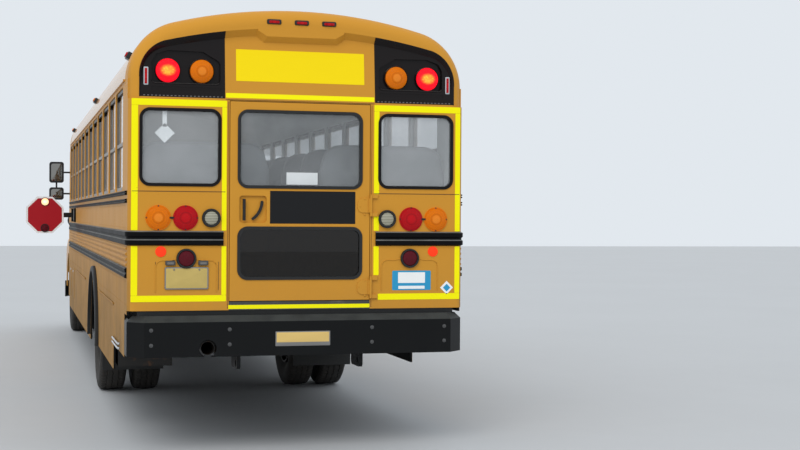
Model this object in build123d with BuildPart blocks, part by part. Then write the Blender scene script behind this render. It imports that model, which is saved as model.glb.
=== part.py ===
"""A conventional (hooded) school bus, built as an assembly of separate pieces.

Millimetres.  +Z is up from the ground, the bus faces -Y and +X is its left side, where
the stop arm stands out.  X = 0 is the bus's centreline while the pieces are made; they
are written with X = 0 in the middle of the overall width, stop arm and mirrors included.
"""
import math
import os

from build123d import *

# Overall sizes
LENGTH = 12000            # over both bumpers
WIDTH = 2438              # over the side panels
WHEELBASE = 7010
FRONT_OVERHANG = 970      # front bumper to the front axle
HOOD_LENGTH = 1940        # front bumper to the front edge of the side panels
BUMPER_DEPTH = 70         # how far the rear bumper stands behind the rear face
ROOF_TOP = 3165
EAVE_Z = 2640             # where the side panels end and the roof's corner arc starts
ROOF_CORNER = 420         # radius of the roof's corner arc
FLOOR_TOP = 1080
FLOOR_BOTTOM = 1020

# Lower edge of the side skirts: ahead of the rear wheels, behind them, and at the tail
SKIRT_Z = 430
REAR_SKIRT_Z = 480
TAIL_Z = 680
TAIL_LENGTH = 1310        # rear face to the rear edge of the luggage door

# Sheet and wall thicknesses
WALL = 60                 # side, rear and front walls, with their inner panel
ROOF_T = 45
SKIRT_T = 16

# Side windows
SILL_Z = 1865
HEAD_Z = 2614
MID_RAIL_Z = 2208
WINDOW_COUNT = 11
WINDOW_POST = 70          # yellow post between two windows
FIRST_POST = 430          # rear face to the middle of the post behind the first window
WINDOW_CORNER = 55
SASH = 26                 # width of the window frame's bars
SASH_DEPTH = 30
SASH_INSET = 10           # frames stand this far inside the outer skin
GLASS_T = 6

# Pressed ribs and rub rails on the sides
RIB_COUNT = 4             # between the low rail and the rub rail
RIB_MARGIN = 20           # the outer ribs' middles from those rails
RIB_HALF = 14
RIB_OUT = 10
RIB_END = 16              # ribs stop this far from the entrance
RAIL_REACH = 16
RAIL_END = 40             # the rub rail's end beside the rear doorway
BELT_RAILS = ((1772, 30), (1828, 30))     # lower edge z, height
RUB_RAIL = (1475, 104)
LOW_RAIL = (1245, 75)

# Rear face
DOOR_HALF = 514           # half of the rear doorway
REAR_HEAD_Z = 2500        # top of the rear panels and doorway
REAR_CORNER = 50
REAR_WINDOW_Z = (1904, 2423)
REAR_WINDOW_EDGE = (71, 91)               # from the doorway and from the side
PANE_EDGE = 73            # beside the door's panes, to the doorway
UPPER_PANE_Z = (1896, 2426)
LOWER_PANE_Z = (FLOOR_TOP + 166, 1598)
PANE_CORNER = 60
SEAL_OUT = 14             # rubber seal over the panel's edge, and over the glass
SEAL_IN = 8
SEAL_T = 6

# Caps over both ends of the roof
CAP_DEPTH = 300           # how far the rear cap reaches forward
CAP_EDGE = 105            # rounding of the outer edge
CAP_T = 30
CAP_WALL = 95             # face to the hollow behind it
FACE_INSET = 74           # side of the cap to the framed face
FACE_CORNER = (244, 260)  # where the face's corner arc ends, in from side and top
FACE_SAGITTA = 55
FACE_TOP = 140            # crown of the framed face below the roof's top
FACE_SINK = 45            # depth of the framed face below its rim, at the top
POD_INNER = 545           # inner edge of the black lamp pods
POD_DEPTH = 60
BROW_HALF = (248, 312)    # visor over the middle: half width at its lip, and above
BROW_Z = (2963, 3001)
POD_LIFT = 12             # pods above the cap's lower edge
POD_LIP = 4               # lip of a pod round its sunk face
BAY_DEPTH = 52            # floor of the lamp bay behind the rim
LEDGE_Z = (2562, 2586)    # groove under the lamp bays
LEDGE_DEPTH = 13
LAMP_Z = 2700
BAY_INNER = ((0, -92), (0, 68), (77, 112), (122, 138))      # bay's outline from POD_INNER + BAY_EDGE[0],
BAY_OUTER = ((-116, 142), (-30, 112), (0, 60), (-4, -92))   # and from HALF - BAY_EDGE[1]; z from LAMP_Z
BAY_EDGE = (33, 159)
BAY_ROUND = 28
RED_INSET = 273           # warning lamps, in from the side
AMBER_INSET = 510
LAMP_R = 88
LENS_T = 44
LENS_DOME = 12

# Entrance
DOORWAY_FRONT = 50        # doorway behind the front edge of the side panel
DOORWAY_WIDTH = 680
DOORWAY_TOP = 2500
STEP_COUNT = 3
STEP_DEPTH = 240
FIRST_STEP_Z = 445

# Front of the body
COWL_DEPTH = 320
COWL_TOP = 1760
FRONT_CAP_BACK = 160      # how far the front cap reaches behind the body's front edge
FRONT_CAP_NOSE = 180      # and ahead of it, in line with the posts' upper ends
FRONT_HEAD_Z = 2560
POST_BASE = 290           # foot of the windshield posts ahead of the side panels
WINDSHIELD_T = 8
WINDSHIELD_INSET = 12     # glass behind the posts' front edges
CENTRE_POST = 44

# Running gear
TYRE_RADIUS = 508
TYRE_WIDTH = 254
RIM_RADIUS = 286
RIM_HALF = 105
FRONT_WHEEL_INSET = 179   # side panel to the middle of a front tyre
DUAL_INSET = 314          # side panel to the middle of a rear pair
DUAL_SPACING = 318
ARCH_GAP = 132            # rear tyre to the arch above it
FRONT_ARCH_GAP = 112
FRAME_HALF = 432          # outer face of the chassis rails
RAIL_TOP = 960
RAIL_BOTTOM = 700
RAIL_FLANGE = 80
RAIL_T = 9
RUN_GAP = 0.05            # radial play of a pin or shaft
HINGE_PLAY = 0.3          # between hinge halves

# Reach of the outside gear beyond the side panels
STOP_SIGN_REACH = 376     # to the centre of the deployed stop sign
STOP_SIGN_ACROSS = 457    # across the octagon's flats
MIRROR_OUT = 281

GAP = 5                   # clearance round doors and lids

# Sizes worked out from those above
HALF = WIDTH / 2
REAR_Y = LENGTH / 2 - BUMPER_DEPTH
FRONT_Y = -LENGTH / 2
FRONT_AXLE_Y = FRONT_Y + FRONT_OVERHANG
REAR_AXLE_Y = FRONT_AXLE_Y + WHEELBASE
BODY_FRONT_Y = FRONT_Y + HOOD_LENGTH
INNER = HALF - WALL
WALL_REAR_Y = REAR_Y - WALL
CAP_FRONT_Y = REAR_Y - CAP_DEPTH
DOORWAY_Y = (BODY_FRONT_Y + DOORWAY_FRONT, BODY_FRONT_Y + DOORWAY_FRONT + DOORWAY_WIDTH)
FIREWALL_Y = BODY_FRONT_Y - COWL_DEPTH
ROOF_FRONT_Y = BODY_FRONT_Y + FRONT_CAP_BACK
CAP_NOSE_Y = BODY_FRONT_Y - FRONT_CAP_NOSE
STOP_SIGN_X = HALF + STOP_SIGN_REACH
MIRROR_REACH = HALF + MIRROR_OUT
CENTRE_X = (STOP_SIGN_X + STOP_SIGN_ACROSS / 2 - MIRROR_REACH) / 2
RISE = ROOF_TOP - EAVE_Z
CORNER_X = HALF - ROOF_CORNER
CROWN = (CORNER_X**2 + RISE**2 - ROOF_CORNER**2) / (2 * (RISE - ROOF_CORNER))
ARCH_RADIUS = TYRE_RADIUS + ARCH_GAP
FRONT_WHEEL_X = HALF - FRONT_WHEEL_INSET
DUAL_X = HALF - DUAL_INSET


def across(y):
    """Plane at Y = y whose local axes are X and Z; extruding it goes forward, to -Y."""
    return Plane.XZ.offset(-y)


def along(x):
    """Plane at X = x whose local axes are Y and Z; extruding it goes to +X."""
    return Plane.YZ.offset(x)


def block(x, y, z, mode=Mode.ADD):
    """A box between the limits (low, high) along each axis."""
    with Locations(((x[0] + x[1]) / 2, (y[0] + y[1]) / 2, (z[0] + z[1]) / 2)):
        Box(x[1] - x[0], y[1] - y[0], z[1] - z[0], mode=mode)


def rod(start, end, radius, mode=Mode.ADD):
    """A round bar from one point to another."""
    axis = Vector(*end) - Vector(*start)
    with BuildSketch(Plane(origin=start, z_dir=axis)) as disc:
        Circle(radius)
    extrude(disc.sketch, amount=axis.length, mode=mode)


def arch_face(points, middle, base):
    """Face under a symmetrical arch: straight sides up from base to the first point, a corner
    arc through the second to the third, and a crown arc over the middle."""
    start, between, knee = points
    with BuildSketch() as outline:
        with BuildLine():
            ThreePointArc(start, between, knee)
            ThreePointArc(knee, middle, (-knee[0], knee[1]))
            ThreePointArc((-knee[0], knee[1]), (-between[0], between[1]), (-start[0], start[1]))
            if base < start[1]:
                Polyline((-start[0], start[1]), (-start[0], base), (start[0], base), start)
            else:
                Line((-start[0], start[1]), start)
        make_face()
    return outline.sketch


def roof_outline(inset, base):
    """The roof's outline, moved in by inset."""
    corner = ROOF_CORNER - inset
    crown = CROWN - inset
    lean = math.atan2(CORNER_X, EAVE_Z - (ROOF_TOP - CROWN))
    knee = (crown * math.sin(lean), ROOF_TOP - CROWN + crown * math.cos(lean))
    turn = (math.pi / 2 + lean) / 2
    between = (CORNER_X + corner * math.sin(turn), EAVE_Z + corner * math.cos(turn))
    return arch_face(((HALF - inset, EAVE_Z), between, knee), (0, ROOF_TOP - inset), base)


def face_outline(inset, base):
    """The framed face of a cap inside its rounded rim, moved in by inset."""
    start = Vector(HALF - FACE_INSET - inset, EAVE_Z)
    knee = Vector(HALF - FACE_CORNER[0] - inset / 2, ROOF_TOP - FACE_CORNER[1] - inset)
    chord = knee - start
    outward = Vector(chord.Y, -chord.X) / chord.length
    between = (start + knee) / 2 + outward * FACE_SAGITTA
    return arch_face(((start.X, start.Y), (between.X, between.Y), (knee.X, knee.Y)),
                     (0, ROOF_TOP - FACE_TOP - inset), base)


def save(piece, name):
    """Label a finished piece, put it in the shared frame and write its file."""
    piece.part.label = name
    export_step(piece.part.moved(Location((-CENTRE_X, 0, 0))), f"parts/{name}.step")


os.makedirs("parts", exist_ok=True)

# Chassis frame: two channel rails, cross members and the pins that the hood tilts on
RAIL_FRONT_Y = FRONT_Y + 190
RAIL_REAR_Y = REAR_Y - 60
HOOD_PIVOT = (FRONT_Y + 208, RAIL_BOTTOM + 20)   # y and z
HOOD_PIN_R = 12
MEMBER_WIDTH = 80
MEMBER_TOP = RAIL_BOTTOM + 130
AXLE_ROOM = 780           # members keep this far from the rear axle
MIDDLE_MEMBERS = 3
bay_front = FIREWALL_Y + 80
bay_step = (REAR_AXLE_Y - AXLE_ROOM - bay_front) / (MIDDLE_MEMBERS + 1)
tail_member_y = RAIL_REAR_Y - 170
member_rows = [RAIL_FRONT_Y + 110, tail_member_y, REAR_AXLE_Y + AXLE_ROOM,
               (REAR_AXLE_Y + AXLE_ROOM + tail_member_y) / 2]
member_rows += [bay_front + bay_step * k for k in range(MIDDLE_MEMBERS + 2)]
with BuildPart() as chassis_frame:
    lip = FRAME_HALF - RAIL_FLANGE
    web = FRAME_HALF - RAIL_T
    with BuildSketch(across(RAIL_REAR_Y)):
        Polygon((FRAME_HALF, RAIL_BOTTOM), (FRAME_HALF, RAIL_TOP), (lip, RAIL_TOP),
                (lip, RAIL_TOP - RAIL_T), (web, RAIL_TOP - RAIL_T), (web, RAIL_BOTTOM + RAIL_T),
                (lip, RAIL_BOTTOM + RAIL_T), (lip, RAIL_BOTTOM), align=None)
    extrude(amount=RAIL_REAR_Y - RAIL_FRONT_Y)
    rod((FRAME_HALF, *HOOD_PIVOT), (FRAME_HALF + 36, *HOOD_PIVOT), HOOD_PIN_R)
    mirror(about=Plane.YZ)
    with BuildSketch(along(-web)):
        for y in member_rows:
            low, high = y - MEMBER_WIDTH / 2, y + MEMBER_WIDTH / 2
            Polygon((low, RAIL_BOTTOM + RAIL_T), (low, MEMBER_TOP), (high, MEMBER_TOP),
                    (high, RAIL_BOTTOM + RAIL_T), (high - RAIL_T, RAIL_BOTTOM + RAIL_T),
                    (high - RAIL_T, MEMBER_TOP - RAIL_T), (low + RAIL_T, MEMBER_TOP - RAIL_T),
                    (low + RAIL_T, RAIL_BOTTOM + RAIL_T), align=None)
    extrude(amount=2 * web)
save(chassis_frame, "chassis_frame")

# Floor: deck, cross sills and rear wheel boxes
WHEEL_BOX_Y = 660
WHEEL_BOX_GAP = 19        # beside the inner tyre
WHEEL_BOX_TOP = FLOOR_TOP + 105
WHEEL_BOX_T = 6
WHEEL_BOX_SLOT = 1        # between a box and the deck round it
TAIL_SILL = 500           # rear face to the last cross sill
SILL_WIDTH = 60
SILL_COUNT = 13
LEAF_T = 35               # entrance door leaves
STEP_T = 12
wheel_box_x = DUAL_X - DUAL_SPACING / 2 - TYRE_WIDTH / 2 - WHEEL_BOX_GAP
step_rise = (FLOOR_TOP - FIRST_STEP_Z) / STEP_COUNT
well_edge = HALF - LEAF_T - GAP - 1
well_inner_x = well_edge - STEP_COUNT * STEP_DEPTH
sill_step = (REAR_Y - TAIL_SILL - (FIREWALL_Y + 120)) / (SILL_COUNT - 1)
with BuildPart() as floor:
    block((-INNER, INNER), (FIREWALL_Y + 30, WALL_REAR_Y), (FLOOR_BOTTOM, FLOOR_TOP))
    block((-DOOR_HALF, DOOR_HALF), (WALL_REAR_Y, REAR_Y), (FLOOR_BOTTOM, FLOOR_TOP))
    for y in [REAR_Y - TAIL_SILL - sill_step * k for k in range(SILL_COUNT)]:
        near_wheel = abs(y - REAR_AXLE_Y) < WHEEL_BOX_Y + SILL_WIDTH
        reach = wheel_box_x - 20 if near_wheel else INNER
        right = well_inner_x - 20 if y < DOORWAY_Y[1] + 60 else reach
        block((-right, reach), (y - SILL_WIDTH / 2, y + SILL_WIDTH / 2), (RAIL_TOP, FLOOR_BOTTOM))
    box_y = (REAR_AXLE_Y - WHEEL_BOX_Y, REAR_AXLE_Y + WHEEL_BOX_Y)
    for side in (1, -1):
        block(sorted((side * (wheel_box_x - WHEEL_BOX_SLOT), side * INNER)),
              (box_y[0] - WHEEL_BOX_SLOT, box_y[1] + WHEEL_BOX_SLOT),
              (FLOOR_BOTTOM, FLOOR_TOP), mode=Mode.SUBTRACT)
        block(sorted((side * wheel_box_x, side * INNER)), box_y, (FLOOR_BOTTOM, WHEEL_BOX_TOP))
        block(sorted((side * (wheel_box_x + WHEEL_BOX_T), side * INNER)),
              (box_y[0] + WHEEL_BOX_T, box_y[1] - WHEEL_BOX_T),
              (FLOOR_BOTTOM, WHEEL_BOX_TOP - WHEEL_BOX_T), mode=Mode.SUBTRACT)
    block((-INNER, -well_inner_x), DOORWAY_Y, (FLOOR_BOTTOM, FLOOR_TOP), mode=Mode.SUBTRACT)
save(floor, "floor")

# Step well of the entrance: folded treads and risers between two cheeks
with BuildPart() as step_well:
    stair = [(-well_edge, FIRST_STEP_Z)]
    for k in range(STEP_COUNT):
        z = FIRST_STEP_Z + k * step_rise
        x = -well_edge + (k + 1) * STEP_DEPTH
        stair += [(x, z), (x, z + step_rise)]
    stair[-1] = (-well_inner_x, FLOOR_BOTTOM)
    under = [(-well_inner_x + STEP_T, FLOOR_BOTTOM)]
    for k in reversed(range(STEP_COUNT)):
        z = FIRST_STEP_Z + k * step_rise - STEP_T
        x = -well_edge + (k + 1) * STEP_DEPTH + STEP_T
        under += [(x, z), (x - STEP_DEPTH, z)]
    under[-1] = (-well_edge, FIRST_STEP_Z - STEP_T)
    with BuildSketch(across(DOORWAY_Y[1])):
        Polygon(*stair, *under, align=None)
    extrude(amount=DOORWAY_WIDTH)
    for y in (DOORWAY_Y[0], DOORWAY_Y[1] + STEP_T):
        with BuildSketch(across(y)) as cheek:
            Polygon((-well_edge, FLOOR_BOTTOM), *under, align=None)
        extrude(cheek.sketch, amount=STEP_T)
save(step_well, "step_well")

# Side walls: one section from skirt to eave, with windows, wheel arch and doors cut out
window_rear_y = REAR_Y - FIRST_POST
window_front_y = DOORWAY_Y[1] + 30
window_pitch = (window_rear_y - window_front_y) / WINDOW_COUNT
window_width = window_pitch - WINDOW_POST
window_centres = [window_rear_y - window_pitch * (k + 0.5) for k in range(WINDOW_COUNT)]
window_middle = (SILL_Z + HEAD_Z) / 2
window_height = HEAD_Z - SILL_Z
driver_window_y = sum(DOORWAY_Y) / 2
driver_window_width = DOORWAY_WIDTH - 20
LOCKER_TOP = 1000
LOCKERS = {"rear_locker": (REAR_AXLE_Y + ARCH_RADIUS + 70, REAR_Y - TAIL_LENGTH, REAR_SKIRT_Z),
           "front_locker": (BODY_FRONT_Y + 1880, REAR_AXLE_Y - ARCH_RADIUS - 1060, SKIRT_Z)}
LOCKER_PIVOT_X = HALF + 6
LOCKER_PIVOT_Z = LOCKER_TOP - 3
LOCKER_PIVOT_R = 5
LOCKER_LUG = 20
LEAF_PIVOT_X = -HALF - 8  # axis of each entrance leaf, just outside the wall
LEAF_PIVOT_R = 8
PIVOT_TOP = DOORWAY_TOP + 10
BUMPER_RETURN = 240       # how far the rear bumper wraps forward along the side
BUMPER_Z = (700, 985)


def side_wall():
    """The left wall without its own doors: ribs between the rails and a thin skirt."""
    face = [(HALF, SKIRT_Z)]
    lowest, highest = sum(LOW_RAIL) + RIB_MARGIN, RUB_RAIL[0] - RIB_MARGIN
    for k in range(RIB_COUNT):
        z = lowest + k * (highest - lowest) / (RIB_COUNT - 1)
        face += [(HALF, z - RIB_HALF), (HALF + RIB_OUT, z - RIB_HALF / 2),
                 (HALF + RIB_OUT, z + RIB_HALF / 4), (HALF, z + RIB_HALF)]
    with BuildPart() as wall:
        with BuildSketch(across(WALL_REAR_Y)):
            Polygon(*face, (HALF, EAVE_Z), (INNER, EAVE_Z), (INNER, FLOOR_BOTTOM),
                    (HALF - SKIRT_T, FLOOR_BOTTOM), (HALF - SKIRT_T, SKIRT_Z), align=None)
        extrude(amount=WALL_REAR_Y - BODY_FRONT_Y)
        with BuildSketch(along(INNER - 1)):
            with Locations([(y, window_middle) for y in window_centres]):
                RectangleRounded(window_width, window_height, WINDOW_CORNER)
            with Locations((REAR_AXLE_Y, TYRE_RADIUS)):
                Circle(ARCH_RADIUS)
            Polygon((REAR_AXLE_Y - ARCH_RADIUS, TYRE_RADIUS), (REAR_AXLE_Y - ARCH_RADIUS, SKIRT_Z - 1),
                    (REAR_Y, SKIRT_Z - 1), (REAR_Y, BUMPER_Z[1] + GAP),
                    (REAR_Y - BUMPER_RETURN - GAP, BUMPER_Z[1] + GAP),
                    (REAR_Y - BUMPER_RETURN - GAP, TAIL_Z), (REAR_Y - TAIL_LENGTH, TAIL_Z),
                    (REAR_Y - TAIL_LENGTH, REAR_SKIRT_Z), (REAR_AXLE_Y + ARCH_RADIUS, REAR_SKIRT_Z),
                    (REAR_AXLE_Y + ARCH_RADIUS, TYRE_RADIUS), align=None)
        extrude(amount=WALL + RIB_OUT + 2, mode=Mode.SUBTRACT)
    return wall.part


with BuildPart() as left_wall:
    add(side_wall())
    with BuildSketch(along(INNER - 1)):
        with Locations((driver_window_y, window_middle)):
            RectangleRounded(driver_window_width, window_height, WINDOW_CORNER)
        for front_y, rear_y, low in LOCKERS.values():
            Polygon((front_y, low - 1), (front_y, LOCKER_TOP), (rear_y, LOCKER_TOP), (rear_y, low - 1),
                    align=None)
    extrude(amount=WALL + RIB_OUT + 2, mode=Mode.SUBTRACT)
    for front_y, rear_y, low in LOCKERS.values():
        for edge, out in ((front_y, -1), (rear_y, 1)):
            lug = sorted((edge, edge + out * LOCKER_LUG))
            pin = sorted((edge - out * (GAP - HINGE_PLAY), edge + out * LOCKER_LUG))
            rod((LOCKER_PIVOT_X, pin[0], LOCKER_PIVOT_Z), (LOCKER_PIVOT_X, pin[1], LOCKER_PIVOT_Z),
                LOCKER_PIVOT_R)
            block((HALF, LOCKER_PIVOT_X), lug, (LOCKER_PIVOT_Z - 4, LOCKER_PIVOT_Z + 4))
save(left_wall, "left_wall")

with BuildPart() as right_wall:
    mirror(side_wall(), about=Plane.YZ)
    block((-HALF - RIB_OUT - 1, -INNER + 1), DOORWAY_Y, (SKIRT_Z - 1, DOORWAY_TOP), mode=Mode.SUBTRACT)
    block((-HALF - RIB_OUT - 1, -HALF), (DOORWAY_Y[0] - RIB_END, DOORWAY_Y[1] + RIB_END),
          (SKIRT_Z - 1, DOORWAY_TOP), mode=Mode.SUBTRACT)
    for y in (DOORWAY_Y[0] + GAP, DOORWAY_Y[1] - GAP):
        block((LEAF_PIVOT_X - 12, -HALF), (y - 14, y + 14), (PIVOT_TOP, PIVOT_TOP + 18))
save(right_wall, "right_wall")

# Roof between the two caps: gutters, and a raised rim and hinge round each hatch opening
HATCH = 600
HATCH_CENTRES = {"front_hatch": BODY_FRONT_Y + 2760, "rear_hatch": CAP_FRONT_Y - 2130}
COAMING = 22
COAMING_T = 12
HATCH_T = 12
HATCH_SEAT = 0.3          # the lid lies this far above its rim
HATCH_SKIRT = 6
HATCH_PIN_R = 7
HATCH_PIVOT = (HATCH / 2 + COAMING_T + 2 * HATCH_SKIRT + 12, ROOF_TOP + 12)   # ahead of centre, z
HATCH_BARREL = 100        # half length of the lid's hinge barrel
HATCH_LUG_END = 130       # and of the barrel with the fixed lugs beside it
GUTTER_OUT = 14
GUTTER_SEAT = 10          # how far it reaches into the roof
GUTTER_Z = (EAVE_Z, EAVE_Z + 14)
with BuildPart() as roof:
    extrude(across(CAP_FRONT_Y) * roof_outline(0, EAVE_Z), amount=CAP_FRONT_Y - ROOF_FRONT_Y)
    for side in (1, -1):
        gutter = sorted((side * (HALF - GUTTER_SEAT), side * (HALF + GUTTER_OUT)))
        block(gutter, (ROOF_FRONT_Y, CAP_FRONT_Y), GUTTER_Z)
    extrude(across(CAP_FRONT_Y) * roof_outline(ROOF_T, EAVE_Z),
            amount=CAP_FRONT_Y - ROOF_FRONT_Y, mode=Mode.SUBTRACT)
    for y in HATCH_CENTRES.values():
        edge = HATCH / 2 + COAMING_T
        block((-edge, edge), (y - edge, y + edge), (ROOF_TOP - ROOF_T, ROOF_TOP + COAMING))
        block((-HATCH / 2, HATCH / 2), (y - HATCH / 2, y + HATCH / 2),
              (ROOF_TOP - 2 * ROOF_T, ROOF_TOP + COAMING + 1), mode=Mode.SUBTRACT)
        for side in (1, -1):
            lug = sorted((side * (HATCH_BARREL + HINGE_PLAY), side * HATCH_LUG_END))
            block(lug, (y - HATCH_PIVOT[0] - HATCH_PIN_R, y - HATCH_PIVOT[0] + HATCH_PIN_R),
                  (ROOF_TOP - ROOF_T / 2, HATCH_PIVOT[1]))
            rod((lug[0], y - HATCH_PIVOT[0], HATCH_PIVOT[1]), (lug[1], y - HATCH_PIVOT[0], HATCH_PIVOT[1]),
                HATCH_PIN_R)
save(roof, "roof")

# Roof hatches
for name, y in HATCH_CENTRES.items():
    with BuildPart() as hatch:
        pocket = HATCH / 2 + COAMING_T + HATCH_SKIRT
        edge = pocket + HATCH_SKIRT
        top = ROOF_TOP + COAMING + HATCH_SEAT + HATCH_T
        block((-edge, edge), (y - edge, y + edge), (ROOF_TOP + 4, top))
        fillet(hatch.edges().group_by(Axis.Z)[-1], HATCH_T / 2)
        block((-pocket, pocket), (y - pocket, y + pocket), (ROOF_TOP, top - HATCH_T), mode=Mode.SUBTRACT)
        block((-HATCH_BARREL, HATCH_BARREL), (y - HATCH_PIVOT[0], y - edge + HATCH_SKIRT),
              (HATCH_PIVOT[1] - 4, HATCH_PIVOT[1] + 4))
        rod((-HATCH_BARREL, y - HATCH_PIVOT[0], HATCH_PIVOT[1]),
            (HATCH_BARREL, y - HATCH_PIVOT[0], HATCH_PIVOT[1]), HATCH_PIN_R)
    save(hatch, name)

# Caps: a rounded shell over each end of the roof, its framed face sunk behind a rim and a visor


def sunk_space(inset, base):
    """Space in front of the framed face: 45 degree sides and a floor that sinks towards the top."""
    with BuildPart() as space:
        loft([across(0) * face_outline(inset, base - 1),
              across(-FACE_SINK) * face_outline(inset + FACE_SINK, base - 1)], ruled=True)
        with BuildSketch(along(-HALF)):
            Polygon((1, base - 2), (1, ROOF_TOP), (-FACE_SINK - 1, ROOF_TOP),
                    (-FACE_SINK - 1, ROOF_TOP - FACE_TOP - FACE_SINK), (-2, base - 2), align=None)
        extrude(amount=WIDTH, mode=Mode.INTERSECT)
    return space.part


def visor():
    """The drop in the middle of the rim that carries the identification lamps."""
    with BuildPart() as drop:
        for y, out in ((0, 0), (-FACE_SINK, FACE_SINK)):
            with BuildSketch(across(y)):
                lip, wide = BROW_HALF[0] + out / 2, BROW_HALF[1] + out / 2
                lip_z, wide_z = BROW_Z[0] - out, BROW_Z[1] - out / 2
                Polygon((-wide, ROOF_TOP), (-wide, wide_z), (-lip, lip_z), (lip, lip_z),
                        (wide, wide_z), (wide, ROOF_TOP), align=None)
        loft(ruled=True)
    return drop.part


def sunk_middle(base):
    """The sunk space between the two lamp pods, under the visor."""
    with BuildPart() as middle:
        add(sunk_space(0, base))
        block((-POD_INNER, POD_INNER), (-FACE_SINK - 2, 2), (base - 2, ROOF_TOP), mode=Mode.INTERSECT)
        add(visor(), mode=Mode.SUBTRACT)
    return middle.part


def pod_blank(base):
    """The left lamp pod as a plain block that fills the outer part of the framed face."""
    with BuildPart() as blank:
        extrude(across(0) * face_outline(0, base + POD_LIFT), amount=POD_DEPTH)
        block((-HALF, POD_INNER), (-POD_DEPTH - 1, 1), (base, ROOF_TOP), mode=Mode.SUBTRACT)
    return blank.part


def cap_shell(depth, base, notch):
    """A cap with its face at Y = 0: hollow behind, notched over the side walls from Y = -notch."""
    with BuildPart() as hollow:
        extrude(across(-CAP_WALL) * roof_outline(CAP_T, base - 1), amount=depth)
    with BuildPart() as cap:
        extrude(across(0) * roof_outline(0, base), amount=depth)
        fillet(cap.edges().filter_by(Plane.XZ).group_by(Axis.Y)[-1]
               .filter_by(lambda e: e.center().Z > EAVE_Z), CAP_EDGE)
        add(hollow.part, mode=Mode.SUBTRACT)
        for side in (1, -1):
            block(sorted((side * (INNER - 1), side * (HALF + 1))), (-depth - 1, -notch),
                  (base - 1, EAVE_Z), mode=Mode.SUBTRACT)
        add(sunk_middle(base), mode=Mode.SUBTRACT)
        add(pod_blank(base), mode=Mode.SUBTRACT)
        mirror(pod_blank(base), about=Plane.YZ, mode=Mode.SUBTRACT)
    return cap.part


def cap_pods(base):
    """The black pods of a cap: sunk faces with a bay round each pair of lamps."""
    with BuildPart() as pods:
        add(pod_blank(base))
        add(sunk_space(POD_LIP, base), mode=Mode.SUBTRACT)
        with BuildSketch(across(0)) as bay:
            inner, outer = POD_INNER + BAY_EDGE[0], HALF - BAY_EDGE[1]
            Polygon(*[(inner + x, LAMP_Z + z) for x, z in BAY_INNER],
                    *[(outer + x, LAMP_Z + z) for x, z in BAY_OUTER], align=None)
            fillet(bay.vertices(), BAY_ROUND)
        extrude(bay.sketch, amount=BAY_DEPTH, mode=Mode.SUBTRACT)
        low, high = (z - REAR_HEAD_Z + base for z in LEDGE_Z)
        if high < LAMP_Z + BAY_INNER[0][1] - LEDGE_DEPTH:
            block((inner, outer), (-LEDGE_DEPTH, 1), (low, high), mode=Mode.SUBTRACT)
        mirror(about=Plane.YZ)
    return pods.part


def place(part, y, ahead):
    """Put a piece made with its face at Y = 0 on the rear, or turned round on the front."""
    return Location((0, y, 0), (0, 0, 180 if ahead else 0)) * part


REAR_FACE = (REAR_Y, False)
FRONT_FACE = (CAP_NOSE_Y, True)
with BuildPart() as rear_cap:
    add(place(cap_shell(CAP_DEPTH, REAR_HEAD_Z, WALL), *REAR_FACE))
save(rear_cap, "rear_cap")

with BuildPart() as front_cap:
    add(place(cap_shell(ROOF_FRONT_Y - CAP_NOSE_Y, FRONT_HEAD_Z, FRONT_CAP_NOSE), *FRONT_FACE))
save(front_cap, "front_cap")

with BuildPart() as lamp_pods:
    add(place(cap_pods(REAR_HEAD_Z), *REAR_FACE))
    add(place(cap_pods(FRONT_HEAD_Z), *FRONT_FACE))
save(lamp_pods, "lamp_pods")

# Rear panels either side of the door, with a window and two door hinges
rear_window_x = (DOOR_HALF + REAR_WINDOW_EDGE[0], HALF - REAR_WINDOW_EDGE[1])
rear_window_centre = (sum(rear_window_x) / 2, sum(REAR_WINDOW_Z) / 2)
rear_window_size = (rear_window_x[1] - rear_window_x[0], REAR_WINDOW_Z[1] - REAR_WINDOW_Z[0])
rear_windows = ((*rear_window_centre, *rear_window_size), (-rear_window_centre[0], rear_window_centre[1],
                                                           *rear_window_size))
door_windows = tuple((0, (low + high) / 2, 2 * (DOOR_HALF - PANE_EDGE), high - low)
                     for low, high in (UPPER_PANE_Z, LOWER_PANE_Z))
HINGE_X = -DOOR_HALF - 3  # axis of the rear door, outside its right edge
HINGE_Y = REAR_Y + 14
HINGE_ROWS = (FLOOR_TOP + 95, 1768)
HINGE_HALF = 52
HINGE_END = 79            # half length with the fixed ends
HINGE_R = 9
HINGE_PLATE = 6
HINGE_LEAF = 98           # width of a leaf, on the door and on the panel
HINGE_LEAF_ROUND = 40
REAR_DOOR_T = 50


def panes(windows, grow):
    """Rounded openings at (x, z, width, height), each grown by the same amount all round."""
    with BuildSketch() as openings:
        for x, z, width, height in windows:
            with Locations((x, z)):
                RectangleRounded(width + 2 * grow, height + 2 * grow, PANE_CORNER + grow)
    return openings.sketch


def seals(windows):
    """Rubber round each window: a lip over the panel's edge and a web between panel and glass."""
    with BuildPart() as rubber:
        extrude(across(REAR_Y + SEAL_T) * panes(windows, SEAL_OUT), amount=SEAL_T)
        extrude(across(REAR_Y) * panes(windows, 0), amount=REAR_DOOR_T - 10)
        extrude(across(REAR_Y + SEAL_T) * panes(windows, -SEAL_IN), amount=REAR_DOOR_T, mode=Mode.SUBTRACT)
    return rubber.part


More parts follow.
